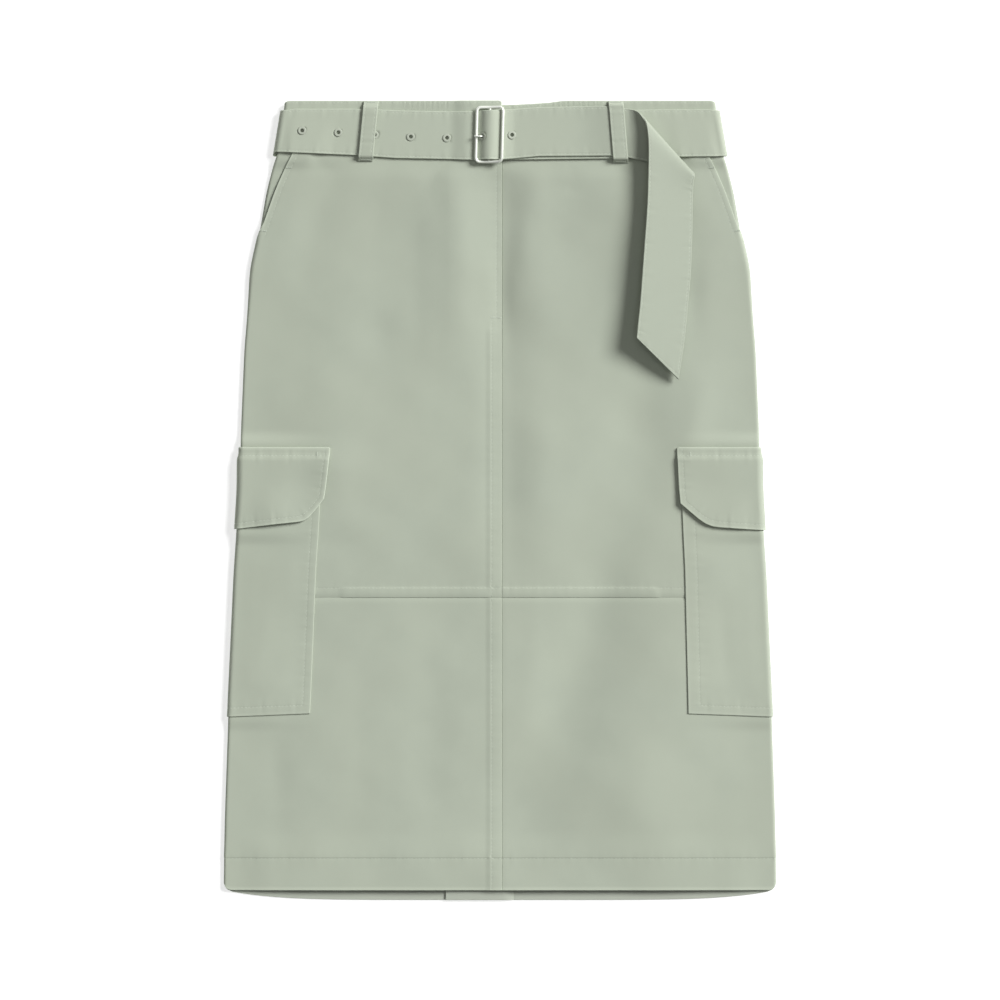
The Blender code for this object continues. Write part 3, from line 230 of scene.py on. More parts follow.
# the strap's inner face on both sides of the eyelets that lean with it
EYELET_SEATS = {0: (CLIMB[3], CLIMB[4]), 1: (Spot(0.0069, 0.0048), Spot(0.0143, 0.0040))}

# extra is the thickness of what lies between a loop and the strap that it holds
LoopSpot = namedtuple("LoopSpot", "x_top x_bottom bottom belt_top belt_bottom extra")
LOOP_WIDTH, LOOP_CLEAR, LOOP_FOOT, LOOP_SEWN = 0.0135, 0.0007, 0.0010, (0.0006, 0.0018)
FRONT_LOOPS = {
    "front_right": LoopSpot(-0.1156, -0.1208, 0.0545, 0.0075, 0.0503, EYELET_TOP),
    "front_left": LoopSpot(0.1039, 0.1085, 0.0562, 0.0049, 0.0527, STRAP),
}
SIDE_BACK = SIDE - (ZONE_FULL + ZONE_END) / 2
BACK_LOOPS = {"back_right": -SIDE_BACK, "back_centre": 0.0, "back_left": SIDE_BACK}
BACK_LOOP_END, LOOP_REACH, LOOP_LIFT_RAMP = 0.0560, LOOP_WIDTH / 2 + 0.001, 0.009

# ---------------------------------------------------------------- how the cloth lies
# height is that of a ridge, or below zero the depth of a trough; bow bends the line to one side at its middle
Crease = namedtuple("Crease", "x0 down0 x1 down1 spread height bow")
FRONT_CREASES = [
    Crease(-0.0010, 0.045, 0.0000, 0.250, 0.050, -0.0026, 0.000),
    Crease(-0.0010, 0.052, 0.0030, 0.215, 0.022, -0.0014, 0.000),
    Crease(0.0240, 0.052, 0.0200, 0.190, 0.024, 0.0005, 0.000),
    Crease(-0.0400, 0.050, -0.0400, 0.230, 0.040, 0.0012, 0.003),
    Crease(0.0340, 0.050, 0.0340, 0.210, 0.034, 0.0012, -0.002),
    Crease(0.0030, 0.200, 0.0035, 0.446, 0.034, -0.0014, 0.000),
    Crease(-0.0690, 0.060, -0.0660, 0.225, 0.022, 0.0005, 0.005),
    Crease(-0.1080, 0.080, -0.1040, 0.250, 0.044, -0.0009, -0.004),
    Crease(0.1240, 0.050, 0.1240, 0.210, 0.060, 0.0018, 0.000),
    Crease(0.0680, 0.058, 0.0600, 0.082, 0.020, -0.0004, 0.000),
    Crease(-0.0740, 0.060, -0.0560, 0.074, 0.018, -0.0003, 0.000),
    Crease(0.0360, 0.240, 0.0360, 0.420, 0.040, 0.0009, 0.003),
    Crease(0.1400, 0.225, 0.0790, 0.490, 0.060, -0.0036, 0.004),
    Crease(0.1680, 0.090, 0.1720, 0.210, 0.024, -0.0008, 0.000),
    Crease(0.1850, 0.215, 0.1640, 0.330, 0.030, 0.0007, 0.004),
    Crease(0.0950, 0.445, 0.0050, 0.675, 0.070, -0.0030, 0.005),
    Crease(0.1650, 0.450, 0.1050, 0.675, 0.080, 0.0034, -0.004),
    Crease(0.0330, 0.450, 0.0240, 0.560, 0.022, 0.0004, 0.000),
    Crease(-0.0640, 0.490, -0.0600, 0.665, 0.034, -0.0007, 0.004),
    Crease(-0.0900, 0.455, -0.0820, 0.640, 0.034, 0.0004, -0.006),
    Crease(-0.1320, 0.470, -0.1270, 0.655, 0.030, -0.0004, 0.003),
    Crease(-0.1480, 0.310, -0.1460, 0.390, 0.050, 0.0018, 0.000),
    Crease(0.1780, 0.400, 0.1800, 0.570, 0.050, 0.0011, 0.000),
    Crease(-0.0200, 0.250, -0.0300, 0.430, 0.040, 0.0007, 0.006),
    Crease(0.2240, 0.392, 0.2390, 0.430, 0.014, -0.0003, 0.000),
    Crease(-0.2120, 0.400, -0.2200, 0.520, 0.020, 0.0003, 0.003),
    Crease(0.1960, 0.420, 0.2040, 0.535, 0.020, -0.0003, 0.000),
    Crease(-0.2050, 0.560, -0.2000, 0.660, 0.024, -0.0004, 0.003),
]
# the back lies on the table, so its creases only stand up from it
BACK_CREASES = [
    Crease(-0.0450, 0.080, -0.0300, 0.260, 0.022, 0.0008, 0.004),
    Crease(0.0600, 0.075, 0.0720, 0.230, 0.020, 0.0007, -0.004),
    Crease(-0.1250, 0.110, -0.1120, 0.300, 0.024, 0.0007, 0.005),
    Crease(0.1340, 0.240, 0.1020, 0.420, 0.026, 0.0009, 0.004),
    Crease(-0.0800, 0.420, -0.0600, 0.600, 0.026, 0.0008, -0.004),
    Crease(0.0420, 0.470, 0.0560, 0.640, 0.022, 0.0007, 0.004),
    Crease(-0.1500, 0.450, -0.1400, 0.620, 0.020, 0.0006, 0.000),
    Crease(0.1420, 0.480, 0.1480, 0.650, 0.020, 0.0006, 0.004),
]
# how high the front is drawn above the cloth of the back
Level = namedtuple("Level", "down height")
FRONT_LEVELS = [
    Level(0.0000, 0.0025),
    Level(0.0515, 0.0025),
    Level(0.1300, 0.0014),
    Level(0.2200, 0.0014),
    Level(0.3000, 0.0034),
    Level(0.4000, 0.0034),
    Level(0.4700, 0.0016),
    Level(0.5675, 0.0016),
    Level(0.7000, 0.0002),
]
LEVEL_SHIFTS, DRAWN_SIDE = (-0.016, -0.008, 0.0, 0.008, 0.016), 0.090
# long waves of a cloth that was folded and shaken out; across and down are in radians per metre
Wave = namedtuple("Wave", "across down phase height")
WAVES = [
    Wave(58.0, 17.0, 0.4, 0.00018),
    Wave(-35.0, 44.0, 1.9, 0.00018),
    Wave(83.0, -29.0, 3.1, 0.00011),
    Wave(21.0, 71.0, 5.0, 0.00012),
    Wave(141.0, 62.0, 2.2, 0.00005),
    Wave(-96.0, 118.0, 0.9, 0.00005),
]
CREASE_WIDTH, CREASE_SIDE, CREASE_MIDDLE = 0.5, 0.045, (0.30, 0.70, 0.45)
# how a crease's height and width vary along it: by which share, how fast, and how each crease's differ
Uneven = namedtuple("Uneven", "share speed shift")
UNEVEN_HEIGHT, UNEVEN_WIDTH = Uneven(0.25, 7.0, 2.1), Uneven(0.2, 5.0, 1.0)
# the cloth stands up a little beside its side folds, and falls away towards them
SIDE_ROLL, ROLL_RISE, ROLL_FALL = 0.0003, (0.003, 0.016), (0.060, 0.026)
SIDE_FALL, SIDE_FALL_REACH = 0.0016, 0.130
LEAST_GAP, VENT_ROOM = 0.0005, 0.0018
OUTLINE_SHIFTS = (-0.008, -0.004, 0.0, 0.004, 0.008)
RELIEF_DOWN = (0.050, 0.072)

RIM_STEPS = (0.0, 0.12, 0.36, 0.70, 1.0, 2.2)  # where points crowd at a rounded edge, in radii
FOLDED, RAW = 0.0006, 0.00022  # radius of a folded edge, and of one that is sewn to another piece
LINE_STEPS = (-0.0012, -0.0006, 0.0, 0.0006, 0.0012)  # points beside a line of stitches
PANEL_STEP, BACK_STEP, POCKET_STEP, FLAP_STEP_FINE, LOOP_STEP = 0.0028, 0.0042, 0.0020, 0.0014, 0.0012

# distances of the stitched lines from the edges that they follow
FLY_LINE, FRONT_LINE, CROSS_LINE, MOUTH_LINE, POCKET_FOOT_LINE = 0.0046, 0.0088, 0.0085, 0.0055, 0.0078
FLAP_TOP_LINE, FLAP_EDGE_LINE, BELT_LINE_IN, LOOP_LINE, VENT_LINE = 0.0076, 0.0050, 0.0020, 0.0022, 0.0470
HEM_LINE, CENTRE_BACK_LINE, BAND_LINE, BAND_END_LINE = 0.6810, 0.0060, 0.0022, 0.0025
BAND_LOWER_LINE = WAIST_SEAM - BAND_LINE
FLY_TACK, MOUTH_TACKS, FLAP_TACK = (0.0005, 0.0095), (0.060, 0.117), (0.0122, 0.0045, 0.0085)
LOOP_TACK, MOUTH_TACK_IN = 0.0015, 0.0005
LINE_END = 0.001  # from a raw or folded edge to the end of a line of stitches
FRONT_LINE_START, BAND_LINE_START, BELT_LINE_START, FOOT_LOWER = 0.002, 0.002, 0.004, 0.0003
BAND_LINE_COUNT, BACK_LINE_COUNT, FLAP_LINE_COUNT, LOOP_LINE_COUNT = 8, 16, 40, 12

# how far in from a folded edge the cloth is paler, partly with wear and partly with a painted highlight; how
# strong this is at seam ridges, pocket edges and narrow pieces' edges, against 1 at other folded edges
WEAR_HIGHLIGHT_REACH, RIDGE_WEAR_AND_HIGHLIGHT, POCKET_WEAR_AND_HIGHLIGHT, NARROW_WEAR_AND_HIGHLIGHT = 0.0018, 0.06, 0.40, 0.40
SUNK_SEAM, SUNK_HALF = {"cross": 0.00055, "front": 0.00012, "flap": 0.00030}, 0.0013

# how the grids of points are set out; what is "kept" keeps its distance from an edge where a piece narrows
LEAST_STEP, BAND_STEP = 0.00012, 0.0018
FOLD_STEPS = [FOLD_ARC * share for share in (0.25, 0.5, 0.75, 1.0, 1.5)]
FRONT_KEPT, MOUTH_KEPT, FACING_KEPT, HEM_KEPT, POCKET_UNDER = 0.020, 0.040, 0.010, 0.003, 0.010
BAND_KEPT, STRAP_KEPT, LINE_KEPT = (0.005, 0.010), (0.005, 0.005), 0.002
FLAP_ROUND, FLAP_KEPT, FLAP_LEAN_KEPT = 0.0032, 0.0095, 0.040
FLAP_CORNER, FLAP_CORNER_END = 0.0024, 0.012
FLAP_WAVE, FLAP_WAVE_P, FLAP_CURL = 0.012, (0.006, 0.030), 0.0004
POCKET_PUFF, PUFF_RAMP, PUFF_DOWN, PUFF_P = 0.0004, 0.020, (0.42, 0.52), 0.020
LOOP_SHIFTS, LOOP_LOOSE = (-0.0008, -0.0004, 0.0, 0.0004, 0.0008), 0.0001
STRAP_STEP, RING_STEP, OVER_COUNT, COURSE_STEP = 0.0017, 0.0006, 160, 0.0006
LEVEL_PASSES, TAIL_PASSES, TAIL_EASE = 4, 80, 0.02
HOLE_CELLS, SLOT_FROM, SLOT_PAST = 2, 8, 0.003

# stitching
Ripple = namedtuple("Ripple", "step share phase")
PUCKERS, PUCKER_SWELL = (Ripple(0.00165, 1.0, 1.3), Ripple(0.00095, 0.7, 4.0)), Ripple(0.0043, 0.5, 0.0)
PUCKER_REACH, GROOVE_HALF = 0.006, 0.0005
SAMPLE_STEP, TACK_PITCH, TACK_LENGTH, THREAD_SINK = 0.0005, 0.0006, 0.8, 0.00003
STITCH_SEGMENTS, STITCH_RINGS = 6, 4
PROBE = 0.001  # a small step out of the cloth, to find which way out is

# metal
EYELET_SEAT, EYELET_SIDES, EYELET_ROLL, ROLL_STEPS, AXIS_NEAR = SEAM, 28, 0.00030, 3, 0.0001
END_FACE = 0.9  # how much of an end face's normal lies along the axis, at least
WIRE_ROUND, WIRE_MERGE, CORNER_STEPS, SHARP = 4, 0.1, 7, math.radians(40)

# finishes
WALE, YARN, WEAVE_DEPTH, SLUB_BEND, WEAVE_PARTS = 0.0010, 0.0008, 0.00006, 2.2, (0.75, 0.25, 0.5)
CLOUD_SHADES, PATCH_SHARE, PATCH_WARMTH = (0.985, 1.012), 0.4, 0.015
# GROOVE_SHARE and GROOVE_SHADE paint shade into the grooves between the twill's wales
GROOVE_SHARE, GROOVE_SHADE, WEAR_AND_HIGHLIGHT_SHARES, WEAR_AND_HIGHLIGHT_PALER, INSIDE_SHARE = 0.25, 0.88, (0.45, 0.40), 1.35, 0.6
PAINTED_SHADE_TONE, FREE_END = 0.86, (0.285, 0.245)  # painted shade: the belt's colour is darkened towards its free end, from these distances from it on
YARN_NOISE, CLOUD_NOISE, PATCH_NOISE, THREAD_NOISE = 900.0, 45.0, 9.0, 5000.0
THREAD_SHADES, STRAND_DEPTH = (0.90, 1.08), 0.00005
SCUFF_NOISE, FILM_NOISE, FILM_SHADE, SCUFF_DEPTH = 300.0, 90.0, 0.95, 0.00001
Finish = namedtuple("Finish", "metallic roughness")
SATIN, MATCHED = Finish(0.38, 0.30), Finish(0.20, 0.50)

# stage
FLOOR_SIZE, FLOOR_DROP, FLOOR_CUTS = 14.0, 0.0003, 4
SENSOR, CAMERA_HEIGHT, FRAME_WIDTH, CAMERA_Y, FARTHEST = 36.0, 4.0, 0.9, 0.00045, 50.0
WORLD_LIGHT, FLOOR_GLOW = 0.155, 0.97
# a sun's size is its angle, and its power is for a square metre
Lamp = namedtuple("Lamp", "name kind place size power")
LAMPS = [
    Lamp("key_light", "SUN", (0.84, 0.51, 0.70), math.radians(25), 4.14),
    Lamp("top_light", "AREA", (0.0, 0.6, 5.0), 3.0, 29.0),
]


# ---------------------------------------------------------------- plain helpers
def rise(value, start, end):
    """0 at start, 1 at end, straight between; end may be below start."""
    return np.clip((np.asarray(value) - start) / (end - start), 0.0, 1.0)


def smooth(t):
    """Eases a rise at both ends."""
    return t * t * (3 - 2 * t)


def ease(value, start, end):
    return smooth(rise(value, start, end))


def plateau(value, low, high, ramp):
    """1 from low to high, easing to 0 over ramp on both sides."""
    return ease(value, low - ramp, low) * ease(value, high + ramp, high)


def lookup(rows, key, column):
    """A column of a table, straight between rows; the first column is the key."""
    return np.interp(key, [row[0] for row in rows], [getattr(row, column) for row in rows])


def unit(vectors):
    return vectors / np.linalg.norm(vectors, axis=-1)[..., None]


def steps(points, axis):
    """Distances between the neighbours in a row of points, or in each row of a grid."""
    return np.linalg.norm(np.diff(points, axis=axis), axis=-1)


def gone_along(points):
    """How far along a path each of its points is."""
    return np.concatenate([[0.0], np.cumsum(steps(points, 0))])


def at_length(values, gone, lengths):
    """Points of a path at these lengths along it."""
    return np.stack([np.interp(lengths, gone, values[:, k]) for k in range(3)], axis=-1)


# ---------------------------------------------------------------- the flattened tube
def half_width(down):
    """Half the skirt's width, with the corners of its table rounded off."""
    return sum(lookup(OUTLINE, down + shift, "half_width") for shift in OUTLINE_SHIFTS) / len(OUTLINE_SHIFTS)


def fold_start(down):
    """Where the flat cloth ends and the side fold starts."""
    return half_width(down) - FOLD_RADIUS - CLOTH


def side_distance(x, down):
    """Distance in the cloth from the side seam."""
    return fold_start(down) + FOLD_ARC - np.abs(x)


def stack(x, down):
    """Thickness of what lies between the table and the tube's inner face, without the belt loops."""
    pocket = ease(side_distance(x, down), ZONE_END, ZONE_FULL)
    height = CLOTH + BELT_THICKER * ease(down, BELOW_BELT, BELT_END)
    height = height + LAP * pocket * plateau(down, *POCKET_ZONE, ZONE_RAMP)
    return height + (FLAP + SEAM) * pocket * plateau(down, *FLAP_ZONE, ZONE_RAMP)


def drawn(x, down):
    """How far the front is drawn above the stack, which is thicker only at the belt and the pockets."""
    level = sum(lookup(FRONT_LEVELS, down + shift, "height") for shift in LEVEL_SHIFTS) / len(LEVEL_SHIFTS)
    free = ease(side_distance(x, down), FOLD_ARC, DRAWN_SIDE)
    return np.maximum(level + CLOTH - stack(x, down), 0.0) * free


def loop_lift(turn, down):
    """The back belt loops lie under the belt and lift what is above them."""
    from_centre = 2 * SIDE - np.abs(turn)
    over = 0.0
    for spot in (0.0, SIDE_BACK):
        over = np.maximum(over, plateau(from_centre, spot - LOOP_REACH, spot + LOOP_REACH, LOOP_LIFT_RAMP))
    return (LOOP + SEAM) * over * ease(down, BELOW_BELT, BACK_LOOP_END)


def uneven(way, t, number):
    """What a crease's height or width is multiplied by at a share t of its length."""
    return 1 + way.share * np.sin(way.speed * t + way.shift * number)


def creased(creases, x, down):
    """Height of soft ridges and troughs, each uneven along its line."""
    total = np.zeros(np.broadcast(x, down).shape)
    for number, crease in enumerate(creases):
        along_x, along_down = crease.x1 - crease.x0, crease.down1 - crease.down0
        length = math.hypot(along_x, along_down)
        here_x, here_down = x - crease.x0, down - crease.down0
        t = (here_x * along_x + here_down * along_down) / length ** 2
        aside = (here_x * along_down - here_down * along_x) / length
        aside = aside - crease.bow * np.sin(math.pi * np.clip(t, 0.0, 1.0))
        height = crease.height * uneven(UNEVEN_HEIGHT, t, number) * plateau(t, *CREASE_MIDDLE)
        width = crease.spread * CREASE_WIDTH * uneven(UNEVEN_WIDTH, t, number)
        total += height * np.exp(-((aside / width) ** 2))
    return total


def waves(x, down):
    """Long low waves of cloth that was shaken out and laid down."""
    return sum(w.height * np.sin(w.across * x + w.down * down + w.phase) for w in WAVES)


def softness(x, down):
    """1 where the cloth is free to crease, 0 on the side folds and under the belt."""
    return ease(side_distance(x, down), FOLD_ARC, CREASE_SIDE) * ease(down, *RELIEF_DOWN)


def back_lift(x, down):
    """How far the back stands up from the table."""
    return np.maximum(0.0, creased(BACK_CREASES, x, down)) * softness(x, down)


def inside_gap(x, down):
    """Air between the back and the front."""
    p = side_distance(x, down)
    hem = (HEM_GAP - REST_GAP) * ease(down, HEM_SPREAD, HEM_TOP) * ease(p, NEAR_SIDE[1], NEAR_SIDE[0])
    roll = SIDE_ROLL * ease(p, *ROLL_RISE) * ease(p, *ROLL_FALL)
    fall = SIDE_FALL * ease(p, FOLD_ARC, SIDE_FALL_REACH)
    soft = (creased(FRONT_CREASES, x, down) + waves(x, down) + roll + fall) * softness(x, down)
    vent = plateau(x, -VENT_UNDER, VENT_ROOT, ZONE_RAMP) * ease(down, VENT_TOP - ZONE_RAMP, VENT_TOP)
    least = LEAST_GAP + back_lift(x, down) + VENT_ROOM * vent
    return np.maximum(REST_GAP + drawn(x, down) + hem + soft, least)


def cloth_distance(turn, down):
    """For a turn from -0.5 to 0.5: how far it is round the cloth from the centre line, and if it is on the
    back."""
    size = np.abs(turn)
    on_back = size > SIDE
    near = np.where(on_back, 2 * SIDE - size, size)
    seam = fold_start(down) + FOLD_ARC
    t = (near - CENTRE_ZONE) / (SIDE - SIDE_ZONE - CENTRE_ZONE)
    between = CENTRE_ZONE * (1 - t) + (seam - SIDE_ZONE) * t
    beside = np.where(near >= SIDE - SIDE_ZONE, seam - (SIDE - near), between)
    return np.where(near <= CENTRE_ZONE, near, beside), on_back


def turn_at(x, down):
    """The turn of the front's point at x."""
    size = np.abs(x)
    stretch_end = fold_start(down) + FOLD_ARC - SIDE_ZONE
    t = (size - CENTRE_ZONE) / (stretch_end - CENTRE_ZONE)
    between = CENTRE_ZONE + t * (SIDE - SIDE_ZONE - CENTRE_ZONE)
    beyond = np.where(size > stretch_end, size + SIDE - SIDE_ZONE - stretch_end, between)
    return np.copysign(np.where(size <= CENTRE_ZONE, size, beyond), x)


def seam_p(turn):
    """Distance in the cloth from a side seam, above 0 on the front and below 0 on the back."""
    return SIDE - np.abs(turn)


def wrapped(turn):
    """A turn brought between -0.5 and 0.5."""
    return (turn + 2 * SIDE) % (4 * SIDE) - 2 * SIDE


def skin(turn, down, out):
    """Points of the tube at these turns, this far down and this far outside its inner face."""
    turn, down, out = np.broadcast_arrays(turn, down, out)
    turn = wrapped(turn)
    side = np.where(turn < 0, -1.0, 1.0)
    distance, on_back = cloth_distance(turn, down)
    start = fold_start(down)
    shift = np.where(on_back, 0.0, CENTRE_SHIFT * np.maximum(0.0, 1 - distance / CENTRE_ZONE))
    x = side * distance + shift
    base = stack(x, down)
    back_z = base + back_lift(x, down) + loop_lift(turn, down) - out
    front_z = base + inside_gap(x, down) + out
    angle = (distance - start) / FOLD_ARC * math.pi / 2
    angle = np.where(on_back, math.pi - angle, angle)
    radius = FOLD_RADIUS + out
    flat = distance <= start
    x = np.where(flat, x, side * (start + radius * np.sin(angle)))
    fold_z = stack(start, down) + FOLD_RADIUS + radius * np.cos(angle)
    z = np.where(flat, np.where(on_back, back_z, front_z), fold_z)
    return np.stack([x, TOP_Y - down, z], axis=-1)


# ---------------------------------------------------------------- lines of stitches
def mirrored(lines, side):
    """Lines that are given for the wearer's left, put on the side that they are for."""
    return [[(side * turn, down) for turn, down in line] for line in lines]


def near_lines(a, b, lines):
    """For every point, its distance from the nearest line and how far along that line it is."""
    best, along = np.full(np.shape(a), 1.0), np.zeros(np.shape(a))
    for line in lines:
        gone = 0.0
        for (a0, b0), (a1, b1) in zip(line, line[1:]):
            length = math.hypot(a1 - a0, b1 - b0)
            share = np.clip(((a - a0) * (a1 - a0) + (b - b0) * (b1 - b0)) / length ** 2, 0.0, 1.0)
            aside = np.hypot(a - a0 - share * (a1 - a0), b - b0 - share * (b1 - b0))
            closer = aside < best
            best = np.where(closer, aside, best)
            along = np.where(closer, gone + share * length, along)
            gone += length
    return best, along


def rippled(ripple, along):
    return ripple.share * np.sin(along / ripple.step + ripple.phase)


def seam_relief(a, b, lines):
    """The groove that a line of stitches draws in, and the puckers beside it."""
    aside, along = near_lines(a, b, lines)
    look = bpy.context.scene.skirt_sizes
    ripples = sum(rippled(ripple, along) for ripple in PUCKERS) * (1 + rippled(PUCKER_SWELL, along))
    pucker = look.pucker_height * ripples * np.exp(-((aside / PUCKER_REACH) ** 2))
    return pucker - look.groove_depth * np.exp(-((aside / GROOVE_HALF) ** 2))


def stitch_shape():
    """The points and faces of one stitch, lying along X on Z = 0."""
    look = bpy.context.scene.skirt_sizes
    bpy.ops.object.select_all(action="DESELECT")
    bpy.ops.mesh.primitive_uv_sphere_add(
        segments=STITCH_SEGMENTS, ring_count=STITCH_RINGS, radius=1.0, calc_uvs=False
    )
    stitch = bpy.context.object
    bpy.ops.object.mode_set(mode="EDIT")
    bpy.ops.mesh.select_all(action="SELECT")
    bpy.ops.transform.resize(value=(look.thread_radius, look.thread_radius, look.stitch_length / 2))
    bpy.ops.object.mode_set(mode="OBJECT")
    points = np.array([(v.co.z, v.co.y, -v.co.x) for v in stitch.data.vertices])
    faces = [tuple(face.vertices) for face in stitch.data.polygons]
    bpy.data.objects.remove(stitch)
    return points, faces


def sample(surface, line):
    """Points every half millimetre or so along a line, the way out of the cloth there, and how far along the
    line they are."""
    spots = []
    for (a0, b0), (a1, b1) in zip(line, line[1:]):
        count = max(2, int(math.hypot(a1 - a0, b1 - b0) / SAMPLE_STEP))
        shares = np.arange(count)[:, None] / count
        spots.append(np.array([[a0, b0]]) * (1 - shares) + np.array([[a1, b1]]) * shares)
    spots.append(np.array([line[-1]]))
    a, b = np.concatenate(spots).T
    points = surface(a, b, 0.0)
    return points, unit(surface(a, b, PROBE) - points), gone_along(points)


def thread_places(surface, lines, pitch, crosswise=False):
    """Middles of stitches along lines, with the directions along, across and out of each."""
    found = []
    for line in lines:
        points, outwards, gone = sample(surface, line)
        count = max(1, int(gone[-1] / pitch))
        lengths = (np.arange(count) + 0.5) * gone[-1] / count
        middle = at_length(points, gone, lengths)
        reach = min(pitch, gone[-1] / 2) / 2
        along = unit(at_length(points, gone, lengths + reach) - at_length(points, gone, lengths - reach))
        up = at_length(outwards, gone, lengths)
        across = unit(np.cross(up, along))
        if crosswise:
            along, across = across, -along
        found.append((middle, along, across, unit(np.cross(along, across))))
    return [np.concatenate(part) for part in zip(*found)]


def threads(name, surface, rows, tacks=()):
    """One piece with all the stitches of the lines given, and the close crosswise ones of the bartacks."""
    base, faces = stitch_shape()
    look = bpy.context.scene.skirt_sizes
    groups = []
    if len(rows):
        groups.append((thread_places(surface, rows, look.stitch_pitch), 1.0, THREAD_SINK))
    if len(tacks):
        groups.append((thread_places(surface, tacks, TACK_PITCH, crosswise=True), TACK_LENGTH, 0.0))
    points, corners = [], []
    gone = 0
    for (middle, along, across, up), stretch, sink in groups:
        x = base[None, :, 0, None] * stretch * along[:, None]
        y = base[None, :, 1, None] * across[:, None]
        z = (base[None, :, 2, None] - sink) * up[:, None]
        placed = (middle[:, None] + x + y + z).reshape(-1, 3)
        for k in range(len(middle)):
            corners += [tuple(v + gone + k * len(base) for v in face) for face in faces]
        points.append(placed)
        gone += len(placed)
    mesh = bpy.data.meshes.new(name)
    mesh.from_pydata(np.concatenate(points).tolist(), [], corners)
    mesh.shade_smooth()
    return add_piece(name, mesh, thread_material())


# ---------------------------------------------------------------- cloth
def places(length, step, radii, lines=(), extra=()):
    """Places from 0 to length, no further apart than step, crowded at both rounded ends and beside lines."""
    fixed = {0.0, length, *extra}
    fixed.update(radii[0] * share for share in RIM_STEPS)
    fixed.update(length - radii[1] * share for share in RIM_STEPS)
    fixed.update(line + beside for line in lines for beside in LINE_STEPS)
    fixed = sorted(place for place in fixed if 0.0 <= place <= length)
    found = [0.0]
    for place in fixed[1:]:
        gap = place - found[-1]
        if gap < LEAST_STEP and place < length:
            continue
        count = math.ceil(gap / step)
        start = found[-1]
        found += [start + gap * k / count for k in range(1, count + 1)]
    return np.array(found)


def fit(spots, actual, low, high):
    """Places along one length set out on others: those near both ends keep their distance from the ends."""
    nominal = spots[-1]
    spots, actual = spots[:, None], np.atleast_1d(actual)[None, :]
    scale = (actual - low - high) / (nominal - low - high)
    between = low + (spots - low) * scale
    return np.where(spots <= low, spots, np.where(spots >= nominal - high, actual - nominal + spots, between))


Grid = namedtuple("Grid", "turns downs full worn")


def grid(columns, rows, turns, downs, radii, side=1, pale=0.0, rim=1.0):
    """A piece's points, how full its thickness is at each, from 0 on a rounded edge to 1, and how pale it is,
    partly with wear and partly with a painted highlight. It is made for the wearer's left and is mirrored for
    side -1. pale is how much of this it has away from its edges, and rim at them."""
    turns, downs = np.broadcast_arrays(turns, downs)
    full, worn = np.ones(turns.shape), np.zeros(turns.shape) + pale
    near = (columns[:, None], (columns[-1] - columns)[:, None], rows[None, :], (rows[-1] - rows)[None, :])
    for distance, radius in zip(near, radii):
        full = np.minimum(full, np.sqrt(1 - (1 - np.clip(distance / radius, 0.0, 1.0)) ** 2))
        if radius == FOLDED:
            worn = np.maximum(worn, rim * np.exp(-((distance / WEAR_HIGHLIGHT_REACH) ** 2)))
    if side > 0:
        return Grid(turns, downs, full, worn)
    return Grid(-turns[::-1], downs[::-1], full[::-1], worn[::-1])


def quads(index):
    return np.stack([index[:-1, :-1], index[:-1, 1:], index[1:, 1:], index[1:, :-1]], axis=-1)


def shell(name, outer, inner, flat, worn, material, holes=(), painted_shade=None):
    """A closed mesh of two grids of points that share their edge. holes are blocks of cells, by their first
    and last columns and rows, that are left out and walled round. The last argument is 1 where the colour is
    darkened as painted shade."""
    count = outer.shape[0] * outer.shape[1]
    over = np.arange(count).reshape(outer.shape[:2])
    under = over + count
    for edge in (np.s_[0, :], np.s_[-1, :], np.s_[:, 0], np.s_[:, -1]):
        under[edge] = over[edge]
    kept = np.ones((outer.shape[0] - 1, outer.shape[1] - 1), bool)
    walls = np.zeros((0, 4), int)
    for i0, i1, j0, j1 in holes:
        kept[i0:i1, j0:j1] = False
        ring = [(i0, j) for j in range(j0, j1)] + [(i, j1) for i in range(i0, i1)]
        ring += [(i1, j) for j in range(j1, j0, -1)] + [(i, j0) for i in range(i1, i0, -1)]
        around = [(over[a], over[b], under[b], under[a]) for a, b in zip(ring, ring[1:] + ring[:1])]
        walls = np.concatenate([walls, around])
    faces = np.concatenate([quads(over)[kept], quads(under)[kept][:, ::-1], walls])
    used, faces = np.unique(faces, return_inverse=True)
    faces = faces.reshape(-1, 4)
    points = np.concatenate([outer.reshape(-1, 3), inner.reshape(-1, 3)])[used]
    points[:, 2] = np.maximum(points[:, 2], 0.0)
    mesh = bpy.data.meshes.new(name)
    mesh.from_pydata(points.tolist(), [], faces.tolist())
    places_of = np.tile(flat.reshape(-1, 2), (2, 1))[used]
    mesh.uv_layers.new(name="cloth").data.foreach_set("uv", places_of[faces.ravel()].ravel())
    values = {"worn": np.tile(worn.ravel(), 2), "inside": np.repeat([0.0, 1.0], count)}
    if painted_shade is not None:
        values["painted_shade"] = np.tile(painted_shade.ravel(), 2)
    for label, numbers in values.items():
        mesh.attributes.new(label, "FLOAT", "POINT").data.foreach_set("value", numbers[used])
    mesh.shade_smooth()
    return add_piece(name, mesh, material)


def add_object(name, data):
    made = bpy.data.objects.new(name, data)
    bpy.context.scene.collection.objects.link(made)
    return made


def add_piece(name, mesh, material):
    """An object of one material that rides on the skirt's body."""
    mesh.materials.clear()
    mesh.materials.append(material)
    piece = add_object(name, mesh)
    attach(piece, BODY)
    return piece


def cut_size(points, typical):
    """Width, length and area of a grid of points, measured in the cloth. typical picks a size out of many."""
    cells = np.cross(np.diff(points, axis=0)[:, :-1], np.diff(points, axis=1)[:-1])
    width, length = typical(steps(points, 0).sum(axis=0)), typical(steps(points, 1).sum(axis=1))
    return width, length, min(np.linalg.norm(cells, axis=2).sum(), width * length)


def declare(node, points, typical=np.max):
    """Hides the node that a sheet stands for and works out the sheet's cut, which is not used further."""
    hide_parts(node)
    width, length, area = cut_size(points, typical)


